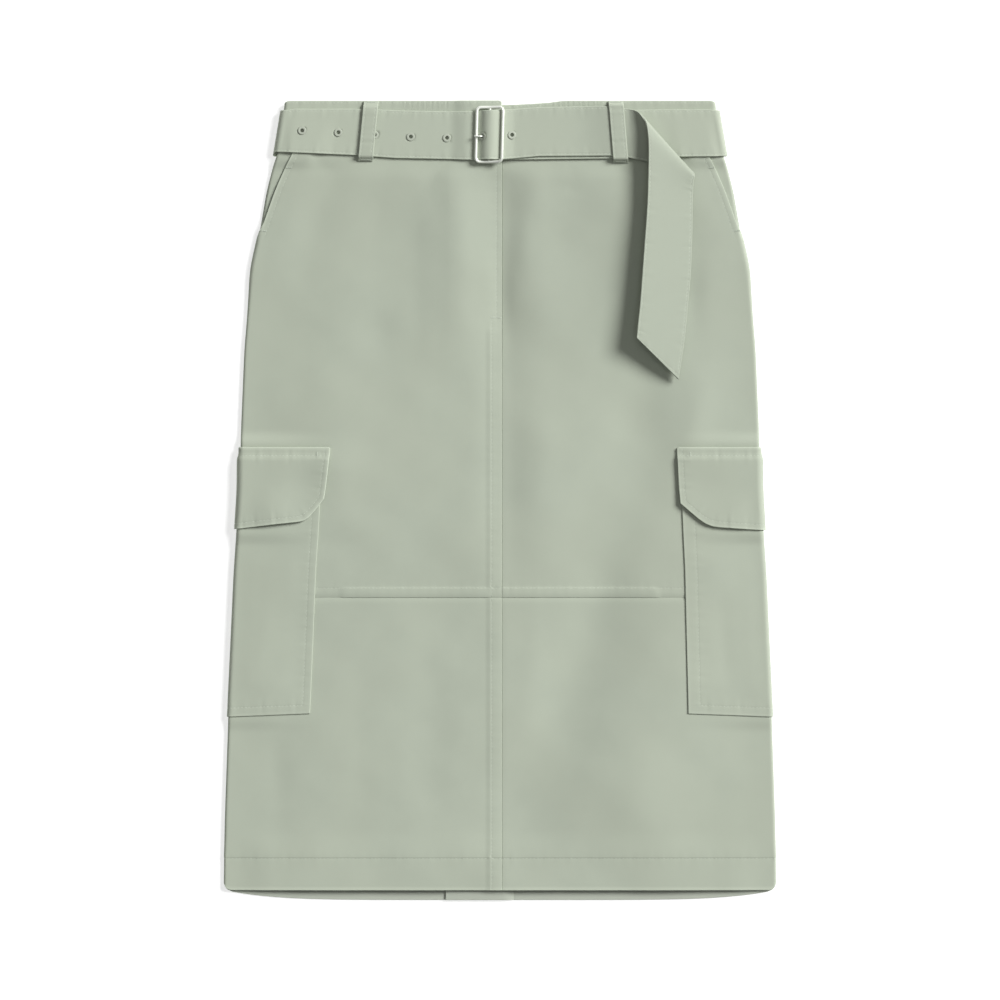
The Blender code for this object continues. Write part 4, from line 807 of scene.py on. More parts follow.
def tube_piece(node, spots, inner, thickness, lines=(), tacks=(), puff=None, sunk=False):
    """A piece of cloth that lies on the tube and stands for a node. inner gives how far out its inner face
    is, lines are those that it is stitched along, puff lifts it off what is under it, and sunk says that the
    front's seams draw it in."""
    def seat(turn, down):
        return inner(turn, down) + (puff(turn, down) if puff else 0.0)

    def relief(turn, down):
        return seam_relief(turn, down, lines) + (sunk_seam(turn, down) if sunk else 0.0)

    def surface(turn, down, extra):
        return skin(turn, down, seat(turn, down) + thickness + relief(turn, down) + extra)

    turns, downs = spots.turns, spots.downs
    middle = seat(turns, downs) + thickness / 2
    half = thickness / 2 * spots.full
    outer = skin(turns, downs, middle + half + relief(turns, downs) * spots.full)
    under = skin(turns, downs, middle - half)
    piece = shell(f"cloth_{node}", outer, under, np.stack([turns, downs], -1), spots.worn, cloth_material())
    sewn = len(lines) or len(tacks)
    stitching = [threads(f"stitching_{node}", surface, lines, tacks)] if sewn else []
    declare(node, skin(turns, downs, middle))
    return piece


def lying(out):
    """For a piece whose inner face is this far out all over."""
    return lambda turn, down: out + 0.0 * turn


def beside_fold(place, *ways):
    """Places that crowd round a side fold, on these sides of a place in the cloth."""
    return [place + way * step for way in ways for step in FOLD_STEPS]


# ---------------------------------------------------------------- panels
def slant_p(down):
    """Distance of the hip pocket's mouth from the side seam."""
    return np.maximum(SEAM / 2, SLANT_P * (SLANT_END - down) / (SLANT_END - WAIST_SEAM))


def over_facing(turn, down):
    """Lift of the front where it lies over the hip facing."""
    inside = slant_p(down) + FACING_UNDER
    reach = FACING_REACH[0] + (FACING_REACH[1] - FACING_REACH[0]) * ease(down, *RELIEF_DOWN)
    return LAP * ease(seam_p(turn) - inside, reach, FACING_CLEAR) * ease(down, *FACING_FALL)


def over_fly(turn, down):
    """Lift of the right front where it lies over the fly's underlap."""
    reach = LAP_END + (FLY_REACH - LAP_END) * ease(down, *RELIEF_DOWN)
    return LAP * ease(-turn, reach, LAP_FULL) * ease(down, *FLY_FALL) * (turn < 0)


def seam_ridge(turn, down):
    """The seam allowances stand up along the cross seam and the centre front."""
    free = seam_p(turn) >= ZONE_END
    across = ease(down, *CROSS_RIDGE) * (down <= CROSS_SEAM)
    upright = ease(-turn, *FRONT_RIDGE[::-1]) * ease(down, *FLY_LIFT_END) * (turn < 0)
    return RIDGE * np.maximum(across, upright) * free


def hem_edge(turn):
    """How far down the hem is: its corners are rounded and the back one hangs lower in the middle."""
    on_back = np.abs(wrapped(turn)) > SIDE
    x = np.abs(skin(turn, FRONT_LENGTH, CLOTH)[..., 0])
    half = half_width(FRONT_LENGTH)
    inset = np.clip((half - x) / HEM_CORNER, 0.0, 1.0)
    corner = HEM_CORNER * (1 - np.sqrt(np.maximum(0.0, 1 - (1 - inset) ** 2)))
    return FRONT_LENGTH - corner + on_back * BACK_DROP * (1 - np.minimum(1.0, x / half) ** HEM_CURVE)


def hem_inside(down):
    """The hem is turned up, so its cloth reaches further in."""
    return -HEM_DEPTH_EXTRA * ease(down, HEM_TOP - HEM_STEP, HEM_TOP + HEM_STEP)


def hemmed(top, end, step, turns):
    """Rows of a piece from its top to the hem, and how far down its points are."""
    rows = places(end - top, step, (RAW, FOLDED), [HEM_LINE - top], [HEM_TOP - HEM_STEP - top])
    return rows, top + fit(rows, hem_edge(turns[:, 0]) - top, HEM_LINE + HEM_KEPT - top, FOLDED).T


def sunk_seam(turn, down):
    """The cloth is drawn in along the cross seam, above the flaps and, less, along the centre front."""
    cross = SUNK_SEAM["cross"] * np.exp(-(((down - CROSS_SEAM) / SUNK_HALF) ** 2))
    front = SUNK_SEAM["front"] * np.exp(-((turn / SUNK_HALF) ** 2)) * ease(down, *RELIEF_DOWN)
    beside = seam_p(turn) < np.where(turn < 0, FLAP_CUTS["right"].top_p, FLAP_CUTS["left"].top_p)
    flap = SUNK_SEAM["flap"] * np.exp(-(((down - FLAP_TOP) / SUNK_HALF) ** 2)) * beside
    return -(cross + front + flap)


def ridge_wear_and_highlight(turns, downs, side):
    """Raised seam allowances are a little paler: partly wear, partly a painted highlight on the ridge."""
    return RIDGE_WEAR_AND_HIGHLIGHT / RIDGE * seam_ridge(side * turns, downs)


def front_upper(word, side):
    top, bottom = WAIST_SEAM + SEAM, CROSS_SEAM - JOIN
    seam = bottom - CROSS_LINE - top
    ridge = [down - top for down in CROSS_RIDGE]
    rows = places(bottom - top, PANEL_STEP, (RAW, RAW), [seam, FLAP_TOP - top], ridge)
    width = SIDE - 2 * JOIN
    lines = [FLY_LINE, FRONT_LINE] if side < 0 else []
    crowded = [*FRONT_RIDGE, *beside_fold(width, -1)]
    columns = places(width, PANEL_STEP, (RAW, RAW), [*lines, width - MOUTH_LINE], crowded)
    downs = top + rows[None, :]
    turns = JOIN + fit(columns, SIDE - JOIN - slant_p(downs[0]), FRONT_KEPT, MOUTH_KEPT)
    # the slant pocket's mouth edge is paler: partly wear, partly a painted highlight
    mouth_edge = np.exp(-(((columns[-1] - columns)[:, None] / WEAR_HIGHLIGHT_REACH) ** 2)) * (downs < SLANT_END)
    worn = np.maximum(mouth_edge, ridge_wear_and_highlight(turns, downs, side))
    spots = grid(columns, rows, turns, downs, (RAW, RAW, RAW, RAW), side, worn)

    cross = CROSS_SEAM - CROSS_LINE
    mouth = (top, SLANT_END - MOUTH_LINE / 2)
    sewn = [
        [(SEAM, cross), (SIDE - ZONE_FULL + POCKET_UNDER, cross)],
        [(SIDE - slant_p(down) - MOUTH_LINE, down) for down in mouth],
    ]
    tacks = []
    if side < 0:
        sewn.append([(FLY_LINE, top), (FLY_LINE, FLY_END)])
        sewn.append([(FRONT_LINE, FLY_END + FRONT_LINE_START), (FRONT_LINE, bottom)])
        tacks.append([(FLY_TACK[0], FLY_END), (FLY_TACK[1], FLY_END)])
    for down in MOUTH_TACKS:
        turn = SIDE - slant_p(down) - MOUTH_TACK_IN
        tacks.append([(turn, down), (turn - MOUTH_LINE, down)])
    sewn, tacks = mirrored(sewn, side), mirrored(tacks, side)

    def inner(turn, down):
        return over_facing(turn, down) + over_fly(turn, down) + seam_ridge(turn, down)

    tube_piece(f"front_upper_{word}", spots, inner, CLOTH, sewn, tacks, sunk=True)


def front_lower(word, side):
    top = CROSS_SEAM + JOIN
    width = SIDE - 2 * JOIN
    lines = [FRONT_LINE] if side < 0 else []
    columns = places(width, PANEL_STEP, (RAW, RAW), lines, [*FRONT_RIDGE, *beside_fold(width, -1)])
    turns = JOIN + columns[:, None]
    rows, downs = hemmed(top, FRONT_LENGTH, PANEL_STEP, turns)
    spots = grid(columns, rows, turns, downs, (RAW, RAW, RAW, FOLDED), side, ridge_wear_and_highlight(turns, downs, side))
    sewn = [[(SEAM, HEM_LINE), (SIDE - SEAM, HEM_LINE)]]
    if side < 0:
        sewn.append([(FRONT_LINE, top), (FRONT_LINE, FRONT_LENGTH - LINE_END)])

    def inner(turn, down):
        return hem_inside(down) / 2 + seam_ridge(turn, down)

    tube_piece(f"front_lower_{word}", spots, inner, CLOTH, mirrored(sewn, side), sunk=True)


def back_panel(word, side):
    top = WAIST_SEAM + SEAM
    width = SIDE - 2 * JOIN
    lines = [width - CENTRE_BACK_LINE] if side > 0 else []
    columns = places(width, BACK_STEP, (RAW, RAW), lines, beside_fold(0.0, 1))
    turns = SIDE + JOIN + columns[:, None]
    rows, downs = hemmed(top, FRONT_LENGTH + BACK_DROP, BACK_STEP, turns)
    spots = grid(columns, rows, turns, downs, (RAW, RAW, RAW, FOLDED), side)
    sewn = [[(SIDE + SEAM, HEM_LINE), (2 * SIDE - SEAM, HEM_LINE)]]
    if side > 0:
        sewn.append([(2 * SIDE - CENTRE_BACK_LINE, down) for down in (top, FRONT_LENGTH)])
    sewn = mirrored(sewn, side)
    tube_piece(f"back_{word}", spots, lambda turn, down: hem_inside(down) / 2, CLOTH, sewn)


def hip_facing(word, side):
    """The piece that shows inside the hip pocket's mouth, from under the front to the side seam."""
    top = WAIST_SEAM + SEAM
    rows = places(FACING_END - top, PANEL_STEP, (RAW, RAW))
    width = SLANT_P + FACING_UNDER - SEAM / 2
    columns = places(width, PANEL_STEP, (RAW, RAW), (), beside_fold(width, -1))
    downs = top + rows[None, :]
    p = slant_p(downs[0]) + FACING_UNDER
    turns = SIDE - p[None, :] + fit(columns, p - SEAM / 2, RAW, FACING_KEPT)
    spots = grid(columns, rows, turns, downs, (RAW, RAW, RAW, RAW), side)

    def inner(turn, down):
        return -FACING_SINK * ease(down, *FACING_SINK_DOWN)

    tube_piece(f"hip_facing_{word}", spots, inner, CLOTH)


def fly_underlap():
    top = WAIST_SEAM + SEAM
    rows = places(FLY_END - top, PANEL_STEP, (RAW, RAW))
    columns = places(FLY_UNDER - SEAM / 2, PANEL_STEP, (FOLDED, RAW))
    turns = -FLY_UNDER + columns[:, None]
    spots = grid(columns, rows, turns, top + rows[None, :], (FOLDED, RAW, RAW, RAW))
    tube_piece("fly_underlap", spots, lying(0.0), CLOTH)


def vent_underlap():
    """The left back's extension, inside the right back: seen at the hem between the front and the back."""
    width = VENT_ROOT + VENT_UNDER
    columns = places(width, PANEL_STEP, (RAW, FOLDED), [width - VENT_LINE])
    turns = 2 * SIDE - VENT_ROOT + columns[:, None]
    rows, downs = hemmed(VENT_TOP, FRONT_LENGTH + BACK_DROP, PANEL_STEP, turns)
    spots = grid(columns, rows, turns, downs, (VENT_THIN, FOLDED, RAW, FOLDED))
    sewn = [[(turn, HEM_LINE) for turn in (2 * SIDE + SEAM, 2 * SIDE + VENT_UNDER - SEAM)]]

    def inner(turn, down):
        rooted = ease(turn, 2 * SIDE - VENT_ROOT + VENT_THIN, 2 * SIDE - VENT_ROOT)
        return hem_inside(down) - (SEAM + CLOTH) * (1 - rooted) - CLOTH / 2 * rooted

    tube_piece("vent_underlap", spots, inner, CLOTH, sewn)


# ---------------------------------------------------------------- cargo pockets and flaps
def pocket_grid(cut, side):
    """A pocket's points, from its edge on the front round the side fold to its edge on the back."""
    length = POCKET_BOTTOM_SIDE - POCKET_TOP
    rows = places(length, POCKET_STEP, (RAW, FOLDED), [length - POCKET_FOOT_LINE])
    width = 2 * cut.pocket_bottom_p
    lines = [cut.pocket_line, width - cut.pocket_line]
    columns = places(width, POCKET_STEP, (FOLDED, FOLDED), lines, [width / 2, *beside_fold(width / 2, -1, 1)])
    t = np.abs(columns - width / 2)[:, None] / (width / 2)
    bottom = POCKET_BOTTOM_SIDE * (1 - t) + POCKET_BOTTOM_EDGE * t
    downs = POCKET_TOP + fit(rows, bottom[:, 0] - POCKET_TOP, FOLDED, POCKET_FOOT_LINE + LINE_KEPT).T
    lean = rise(downs, POCKET_TOP, POCKET_BOTTOM_EDGE)
    half = cut.pocket_top_p * (1 - lean) + cut.pocket_bottom_p * lean
    from_side = columns[:, None] - width / 2
    keep = np.minimum(1.0, np.abs(from_side) / (width / 2 - cut.pocket_line - LINE_KEPT))
    turns = SIDE + from_side + np.sign(from_side) * (half - width / 2) * keep
    return grid(columns, rows, turns, downs, (FOLDED, FOLDED, RAW, FOLDED), side, rim=POCKET_WEAR_AND_HIGHLIGHT)


def pocket_lines(cut, side):
    """The lines of stitches up both sides of a pocket and along its foot."""
    top, bottom = cut.pocket_top_p - cut.pocket_line, cut.pocket_bottom_p - cut.pocket_line
    foot_edge, foot_side = POCKET_BOTTOM_EDGE - POCKET_FOOT_LINE, POCKET_BOTTOM_SIDE - POCKET_FOOT_LINE
    lines = [[(SIDE + edge * top, POCKET_TOP), (SIDE + edge * bottom, foot_edge)] for edge in (-1, 1)]
    foot = [(SIDE + edge * bottom, foot_edge + FOOT_LOWER) for edge in (-1, 1)]
    lines.append([foot[0], (SIDE, foot_side), foot[1]])
    return mirrored(lines, side)


def cargo_pocket(word, side):
    cut = FLAP_CUTS[word]

    def puff(turn, down):
        from_edge = cut.pocket_bottom_p - np.abs(seam_p(turn))
        inside = ease(from_edge, cut.pocket_line, cut.pocket_line + PUFF_RAMP)
        off_fold = ease(np.abs(seam_p(turn)), FOLD_ARC, PUFF_P)
        in_front = np.abs(turn) < SIDE
        return POCKET_PUFF * inside * off_fold * in_front * plateau(down, *PUFF_DOWN, PUFF_RAMP)

    spots, sewn = pocket_grid(cut, side), pocket_lines(cut, side)
    tube_piece(f"cargo_pocket_{word}", spots, lying(LAP), POCKET, sewn, puff=puff)


def flap_bottom(cut, from_edge, inset):
    """How far down a flap's cut corner and lower edge are, moved in by inset. from_edge is the distance from
    the line of its upright edge."""
    upright = (cut.corner_p - cut.top_p) / (cut.corner_down - FLAP_TOP)
    reach = cut.corner_p + upright * (cut.chamfer_down - cut.corner_down) - cut.chamfer_p
    slope = (cut.chamfer_down - cut.corner_down) / reach
    chamfer = cut.corner_down + slope * from_edge - inset * math.hypot(1.0, slope)
    level = (cut.side_down - cut.chamfer_down) / cut.chamfer_p
    lower = cut.chamfer_down + level * (from_edge - reach) - inset
    lowest = np.minimum(chamfer, lower)
    highest = np.maximum(chamfer, lower)
    return lowest - FLAP_ROUND * np.log1p(np.exp((lowest - highest) / FLAP_ROUND))


def leaned(cut, from_side, down):
    """Distance of a flap's point from the side seam, drawn in as the flap's upright edges lean in."""
    lean = (cut.top_p - cut.corner_p) * (down - FLAP_TOP) / (cut.corner_down - FLAP_TOP)
    keep = np.minimum(1.0, np.abs(from_side) / (cut.top_p - FLAP_LEAN_KEPT))
    return from_side - np.sign(from_side) * lean * keep


def flap_grid(cut, side):
    """A flap's points: its rows are level at its top and follow its cut corners and lower edge."""
    width = 2 * cut.top_p
    length = cut.side_down - FLAP_TOP
    lines = [FLAP_EDGE_LINE, width - FLAP_EDGE_LINE]
    crowded = [cut.top_p, *beside_fold(cut.top_p, -1, 1)]
    columns = places(width, FLAP_STEP_FINE, (FOLDED, FOLDED), lines, crowded)
    rows = places(length, FLAP_STEP_FINE, (FOLDED, FOLDED), [FLAP_TOP_LINE, length - FLAP_EDGE_LINE])
    from_edge = cut.top_p - np.abs(columns - cut.top_p)
    from_bottom = length - rows
    kept = from_bottom <= FLAP_KEPT
    downs = np.zeros((len(columns), len(rows)))
    for j in np.flatnonzero(kept):
        downs[:, j] = flap_bottom(cut, from_edge, from_bottom[j])
    limit = flap_bottom(cut, from_edge, FLAP_KEPT)
    above = rows[~kept]
    scale = (limit - FLAP_TOP - FLAP_KEPT) / (length - FLAP_KEPT - FLAP_KEPT)
    stretched = FLAP_KEPT + (above - FLAP_KEPT)[None, :] * scale[:, None]
    downs[:, ~kept] = FLAP_TOP + np.where(above[None, :] <= FLAP_KEPT, above[None, :], stretched)
    corner = FLAP_CORNER * (1 - np.sqrt(1 - (1 - np.clip(from_edge / FLAP_CORNER, 0.0, 1.0)) ** 2))
    downs += corner[:, None] * rise(downs, FLAP_TOP + FLAP_CORNER_END, FLAP_TOP)
    turns = SIDE + leaned(cut, columns[:, None] - cut.top_p, downs)
    return grid(columns, rows, turns, downs, (FOLDED, FOLDED, FOLDED, FOLDED), side)


def flap_lines(cut, side):
    """The lines of stitches round a flap's free edges and under its top edge, and its bartacks."""
    insets = np.linspace(FLAP_EDGE_LINE, cut.top_p, FLAP_LINE_COUNT)
    bottoms = flap_bottom(cut, insets, FLAP_EDGE_LINE)
    half = [(cut.top_p - FLAP_EDGE_LINE, FLAP_TOP + LINE_END)]
    half += zip(leaned(cut, cut.top_p - insets, bottoms), bottoms)
    outline = [(SIDE - p, down) for p, down in half] + [(SIDE + p, down) for p, down in reversed(half[:-1])]
    across = [(SIDE + edge * (cut.top_p - LINE_END), FLAP_TOP + FLAP_TOP_LINE) for edge in (-1, 1)]
    tack_turns = [SIDE + edge * (cut.top_p - FLAP_TACK[0]) for edge in (-1, 1)]
    tacks = [[(turn, FLAP_TOP + down) for down in FLAP_TACK[1:]] for turn in tack_turns]
    return mirrored([outline, across], side), mirrored(tacks, side)


def cargo_flap(word, side):
    """A flap over the pocket's top, with its lower corners cut off, the same on the front and the back."""
    cut = FLAP_CUTS[word]

    def inner(turn, down):
        spring = FLAP_SPRING * ease(down, *FLAP_SPRING_DOWN) * ease(seam_p(turn), *FLAP_SPRING_P)
        return LAP + LAP * ease(down, *FLAP_STEP) + spring

    def puff(turn, down):
        p = seam_p(turn)
        wave = np.sin(p / FLAP_WAVE + side) * ease(p, *FLAP_WAVE_P) * (p > 0)
        return FLAP_CURL * wave * ease(down, FLAP_TOP + FLAP_TOP_LINE, cut.side_down)

    sewn, tacks = flap_lines(cut, side)
    tube_piece(f"cargo_flap_{word}", flap_grid(cut, side), inner, FLAP, sewn, tacks, puff)


# ---------------------------------------------------------------- waistband
def waistband_top(turn):
    """The left front's top edge dips a little where it goes under the right one."""
    return BAND_DIP * ease(turn, BAND_DIP_END, 0.0)


def band_shoulder(turn):
    """The waistband's top edge is rounded off at the side folds."""
    reach, drop = BAND_SHOULDER
    inset = np.clip(np.abs(seam_p(turn)) / reach, 0.0, 1.0)
    return drop * (1 - np.sqrt(1 - (1 - inset) ** 2))


def band_grid(columns, turns, top, ends, side=1):
    """Points of a strip of the waistband, from its top edge to the waist seam. ends are its ends' radii."""
    rows = places(WAIST_SEAM, BAND_STEP, (FOLDED, RAW), [BAND_LINE, BAND_LOWER_LINE])
    downs = top[:, None] + fit(rows, WAIST_SEAM - top, *BAND_KEPT).T
    return grid(columns, rows, turns[:, None], downs, (*ends, FOLDED, RAW), side)


def waistband_front_right():
    width = SIDE - SEAM / 2 - JOIN
    columns = places(width, BAND_STEP, (FOLDED, RAW), [BAND_END_LINE], beside_fold(width, -1))
    turns = SEAM / 2 + columns
    top = BAND_CORNER[0] * rise(columns, BAND_CORNER[1], 0.0) ** 2 + band_shoulder(turns)
    spots = band_grid(columns, turns, top, (FOLDED, RAW), -1)
    far = -(SIDE - BAND_SHOULDER[0])
    sewn = [[(far, down), (-BAND_END_LINE, down)] for down in (BAND_LINE, BAND_LOWER_LINE)]
    sewn.append([(-BAND_END_LINE, BAND_LINE), (-BAND_END_LINE, BAND_LOWER_LINE)])

    def inner(turn, down):
        return (WAISTBAND + SEAM) * ease(-turn, LAP_END, LAP_FULL)

    tube_piece("waistband_front_right", spots, inner, WAISTBAND, sewn)


def waistband_front_left():
    width = FLY_UNDER + SIDE - JOIN
    columns = places(width, BAND_STEP, (FOLDED, RAW), (), beside_fold(width, -1))
    turns = -FLY_UNDER + columns
    spots = band_grid(columns, turns, waistband_top(turns) + band_shoulder(turns), (FOLDED, RAW))
    dips = np.linspace(BAND_LINE_START, BAND_DIP_END, BAND_LINE_COUNT)
    far = SIDE - BAND_SHOULDER[0]
    upper = [(turn, float(waistband_top(turn)) + BAND_LINE) for turn in dips] + [(far, BAND_LINE)]
    lower = [(turn, BAND_LOWER_LINE) for turn in (BAND_LINE_START, far)]
    tube_piece("waistband_front_left", spots, lying(0.0), WAISTBAND, [upper, lower])


def back_dip(turn):
    """The back's top edge follows the left front's and is whole again behind the right front's end."""
    x = 2 * SIDE - turn
    return BAND_DIP * ease(x, BAND_DIP_END, 0.0) * ease(x, *BACK_DIP_END)


def waistband_back():
    width = 2 * SIDE - 2 * JOIN
    columns = places(width, BAND_STEP, (RAW, RAW), (), [*beside_fold(0.0, 1), *beside_fold(width, -1)])
    turns = SIDE + JOIN + columns
    top = band_shoulder(np.minimum(turns, 4 * SIDE - turns)) + back_dip(turns)
    spots = band_grid(columns, turns, top, (RAW, RAW))
    ends = (SIDE + BAND_SHOULDER[0], 3 * SIDE - BAND_SHOULDER[0])
    dips = np.linspace(2 * SIDE - BAND_DIP_END, 2 * SIDE - BACK_DIP_END[0], BACK_LINE_COUNT)
    upper = [(turn, float(back_dip(turn)) + BAND_LINE) for turn in (ends[0], *dips, ends[1])]
    sewn = [upper, [(end, BAND_LOWER_LINE) for end in ends]]
    tube_piece("waistband_back", spots, lying(0.0), WAISTBAND, sewn)


# ---------------------------------------------------------------- belt loops
def belt_level(x, down):
    """Keeps the belt's front level where what lies under it thins out below the belt."""
    return np.maximum(0.0, CLOTH + BELT_THICKER - stack(x, down) - drawn(x, down))


def belt_loop(name, middle, rows_out, to_turn):
    """A strip over the belt, sewn to the waistband's top and to the panel below the belt. rows_out is a table
    of how far out its inner face is at each level, and middle is the strip's centre line there."""
    levels, outs = list(rows_out), list(rows_out.values())
    length = levels[-1] - levels[0]
    columns = places(LOOP_WIDTH, LOOP_STEP, (FOLDED, FOLDED), [LOOP_LINE, LOOP_WIDTH - LOOP_LINE])
    rows = places(length, LOOP_STEP, (FOLDED, RAW))
    downs = levels[0] + rows[None, :] + 0.0 * columns[:, None]
    turns = to_turn(middle(downs) + columns[:, None] - LOOP_WIDTH / 2, downs)
    spots = grid(columns, rows, turns, downs, (FOLDED, FOLDED, FOLDED, RAW), rim=NARROW_WEAR_AND_HIGHLIGHT)

    def inner(turn, down):
        nearby = [np.interp(down + shift, levels, outs) for shift in LOOP_SHIFTS]
        return sum(nearby) / len(nearby) + LOOP_LOOSE

    def spot_at(aside, down):
        return float(to_turn(middle(down) + aside, down)), float(down)

    asides = (LOOP_LINE - LOOP_WIDTH / 2, LOOP_WIDTH / 2 - LOOP_LINE)
    line_downs = np.linspace(levels[0] + LINE_END, levels[-1] - LINE_END, LOOP_LINE_COUNT)
    sewn = [[spot_at(aside, down) for down in line_downs] for aside in asides]
    tack_downs = (levels[-1] - LOOP_TACK, levels[0] + LOOP_TACK)
    tacks = [[spot_at(aside, down) for aside in asides] for down in tack_downs]
    tube_piece(name, spots, inner, LOOP, sewn, tacks)


def front_loop(word):
    spot = FRONT_LOOPS[word]
    over_belt = BELT_SEAT + STRAP + SEAM + spot.extra + SEAM
    belt_end = spot.belt_bottom + LOOP_CLEAR
    rows_out = {
        LOOP_SEWN[0]: BELT_SEAT,
        LOOP_SEWN[1]: BELT_SEAT,
        spot.belt_top - LOOP_CLEAR: over_belt,
        belt_end: over_belt + float(belt_level(spot.x_bottom, belt_end)),
        spot.bottom - LOOP_FOOT: LAP,
        spot.bottom: LAP,
    }

    def middle(down):
        return spot.x_top + (spot.x_bottom - spot.x_top) * down / spot.bottom

    belt_loop(f"belt_loop_{word}", middle, rows_out, turn_at)


def back_loop(word):
    over_belt = BELT_SEAT + STRAP + SEAM
    top = float(back_dip(2 * SIDE - BACK_LOOPS[word]))
    rows_out = {
        LOOP_SEWN[0] + top: BELT_SEAT,
        LOOP_SEWN[1] + top: BELT_SEAT,
        BACK_EDGES[0] - LOOP_CLEAR: over_belt,
        BACK_EDGES[1] + LOOP_CLEAR: over_belt,
        BACK_LOOP_END - LOOP_FOOT: LAP,
        BACK_LOOP_END: LAP,
    }
    middle = 2 * SIDE - BACK_LOOPS[word]
    belt_loop(f"belt_loop_{word}", lambda down: middle, rows_out, lambda turn, down: turn)


# ---------------------------------------------------------------- belt strap
Course = namedtuple("Course", "upper lower half gone")


def belt_edges(turn, rows):
    """How far down the strap's upper and lower edges are at these turns."""
    x = skin(turn, BELT_LINE, 0.0)[..., 0]
    front = np.abs(turn) <= SIDE
    top = np.where(front, lookup(rows, x, "top"), BACK_EDGES[0])
    return top, np.where(front, lookup(rows, x, "bottom"), BACK_EDGES[1])


def belt_seat(turn, down):
    """How far out the belt's inner face lies. The lapped waistband and the side folds lift it, and the edge
    of the hip pocket lifts its lower edge."""
    lapped = np.where(turn < 0, ease(-turn, LAP_END, LAP_FULL), ease(turn, *LAP_STEP[::-1]))
    p = np.abs(seam_p(turn))
    slack = BELT_SLACK * np.cos(np.minimum(1.0, p / FOLD_ARC) * math.pi / 2)
    seat = BELT_SEAT + (WAISTBAND + SEAM) * lapped + slack
    mouth = ease(p, *MOUTH_P[:2]) * ease(p, FOLD_ARC, MOUTH_P[2]) * ease(down, MOUTH_DOWN, WAIST_SEAM)
    level = belt_level(skin(turn, down, 0.0)[..., 0], down)
    return seat + np.where(np.abs(turn) >= SIDE, 0.0, MOUTH_LIFT * mouth + level)


def centre_level():
    """Height of the tube's inner face under the buckle."""
    return float(skin(0.0, BELT_LINE, 0.0)[2])


def buckle_lean(down):
    """The buckle and the strap in it are turned a little from upright."""
    return ((BUCKLE_TOP + BUCKLE_BOTTOM) / 2 - down) * BUCKLE_LEAN


def level_cut(x, out, rows):
    """Both edges of the strap's middle surface where it lies level in the buckle."""
    top, bottom = lookup(rows, x, "top"), lookup(rows, x, "bottom")
    z = centre_level() + np.asarray(out)
    return [np.stack([x + buckle_lean(down), TOP_Y - down, z], -1) for down in (top, bottom)]


def lying_cut(turn, rows, under=0.0):
    """Both edges of the middle surface where the strap lies on the skirt, or on what is under it there."""
    return [skin(turn, down, belt_seat(turn, down) + under + STRAP / 2) for down in belt_edges(turn, rows)]


def curl_cuts():
    """The fixed end, turned round the buckle's bar from above it, past its left, to below it."""
    angles = np.radians(np.linspace(*CURL_ANGLES, CURL_COUNT))
    radius = BAR + SEAM + CURL / 2
    return level_cut(BAR_X + radius * np.cos(angles), BAR_OUT + radius * np.sin(angles), RING_EDGES)


def climb_cuts():
    """The strap under the buckle's left upright, over the bar and under the right upright."""
    x, out = np.array(CLIMB).T
    slope = np.arctan2(out[2:] - out[:-2], x[2:] - x[:-2])
    return level_cut(x[1:-1] - np.sin(slope) * STRAP / 2, out[1:-1] + np.cos(slope) * STRAP / 2, OVER_EDGES)


def evened(points, passes):
    """Averages each point with its neighbours again and again, the ends kept."""
    for _ in range(passes):
        points = np.concatenate([points[:1], (points[:-2] + 2 * points[1:-1] + points[2:]) / 4, points[-1:]])
    return points


def front_face(x, down):
    """Height of the front's outer face."""
    turn = turn_at(x, down)
    return skin(turn, down, over_facing(turn, down) + CLOTH)[..., 2]


def strap_course():
    """The strap's middle surface from its fixed end in the buckle, round the waist, through the buckle and
    down to its free end: its two edges, half its thickness, and how far along it each section is."""
    ring_turns = np.arange(RING_FIRST, 4 * SIDE - LAP_FULL, RING_STEP)
    ring_turns = np.where(ring_turns > 2 * SIDE, ring_turns - 4 * SIDE, ring_turns)
    over_turns = turn_at(np.linspace(OVER_X[0], OVER_X[-1], OVER_COUNT), BELT_LINE)
    tail = np.array(TAIL_RULINGS)
    tail[:, 5] = np.maximum(tail[:, 5], front_face(tail[:, 3], tail[:, 4]) + SEAM + STRAP / 2)
    cuts = [
        level_cut(np.array([RING_START.x]), np.array([RING_START.out + STRAP / 2]), RING_EDGES),
        lying_cut(ring_turns, RING_EDGES),
        climb_cuts(),
        lying_cut(over_turns, OVER_EDGES, under=STRAP + SEAM),
        [np.stack([tail[:, k], TOP_Y - tail[:, k + 1], tail[:, k + 2]], -1) for k in (0, 3)],
    ]
    upper, lower = (np.concatenate([cut[k] for cut in cuts]) for k in (0, 1))
    gone = gone_along((upper + lower) / 2)
    lengths = np.linspace(0.0, gone[-1], round(gone[-1] / COURSE_STEP))
    tail_start = gone[-len(tail)] - STRAP_STEP
    edges = []
    for edge in (upper, lower):
        dense = evened(at_length(edge, gone, lengths), LEVEL_PASSES)
        softer = evened(dense, TAIL_PASSES)
        edges.append(dense + (softer - dense) * ease(lengths, tail_start, tail_start + TAIL_EASE)[:, None])
    curl = curl_cuts()
    upper, lower = (np.concatenate([curl[k], edges[k]]) for k in (0, 1))
    gone = gone_along((upper + lower) / 2)
    curl_end = gone[len(curl[0]) - 1]
    half = CURL / 2 + (STRAP - CURL) / 2 * ease(gone, curl_end, curl_end + CURL_EASE)
    return Course(upper, lower, half, gone)


def strap_surface(course, along, across, share, distance):
    """Points of the strap: along its length, across from its upper edge, and out of its middle surface by a
    share of half its thickness plus a distance."""
    step = COURSE_STEP
    upper, lower = (at_length(edge, course.gone, along) for edge in (course.upper, course.lower))
    middles = course.upper + course.lower
    onwards = at_length(middles, course.gone, along + step) - at_length(middles, course.gone, along - step)
    wide = lower - upper
    width = np.linalg.norm(wide, axis=-1)
    half = np.interp(along, course.gone, course.half)
    out = unit(np.cross(wide, onwards)) * (share * half + distance)[..., None]
    return upper + wide * (across / width)[..., None] + out


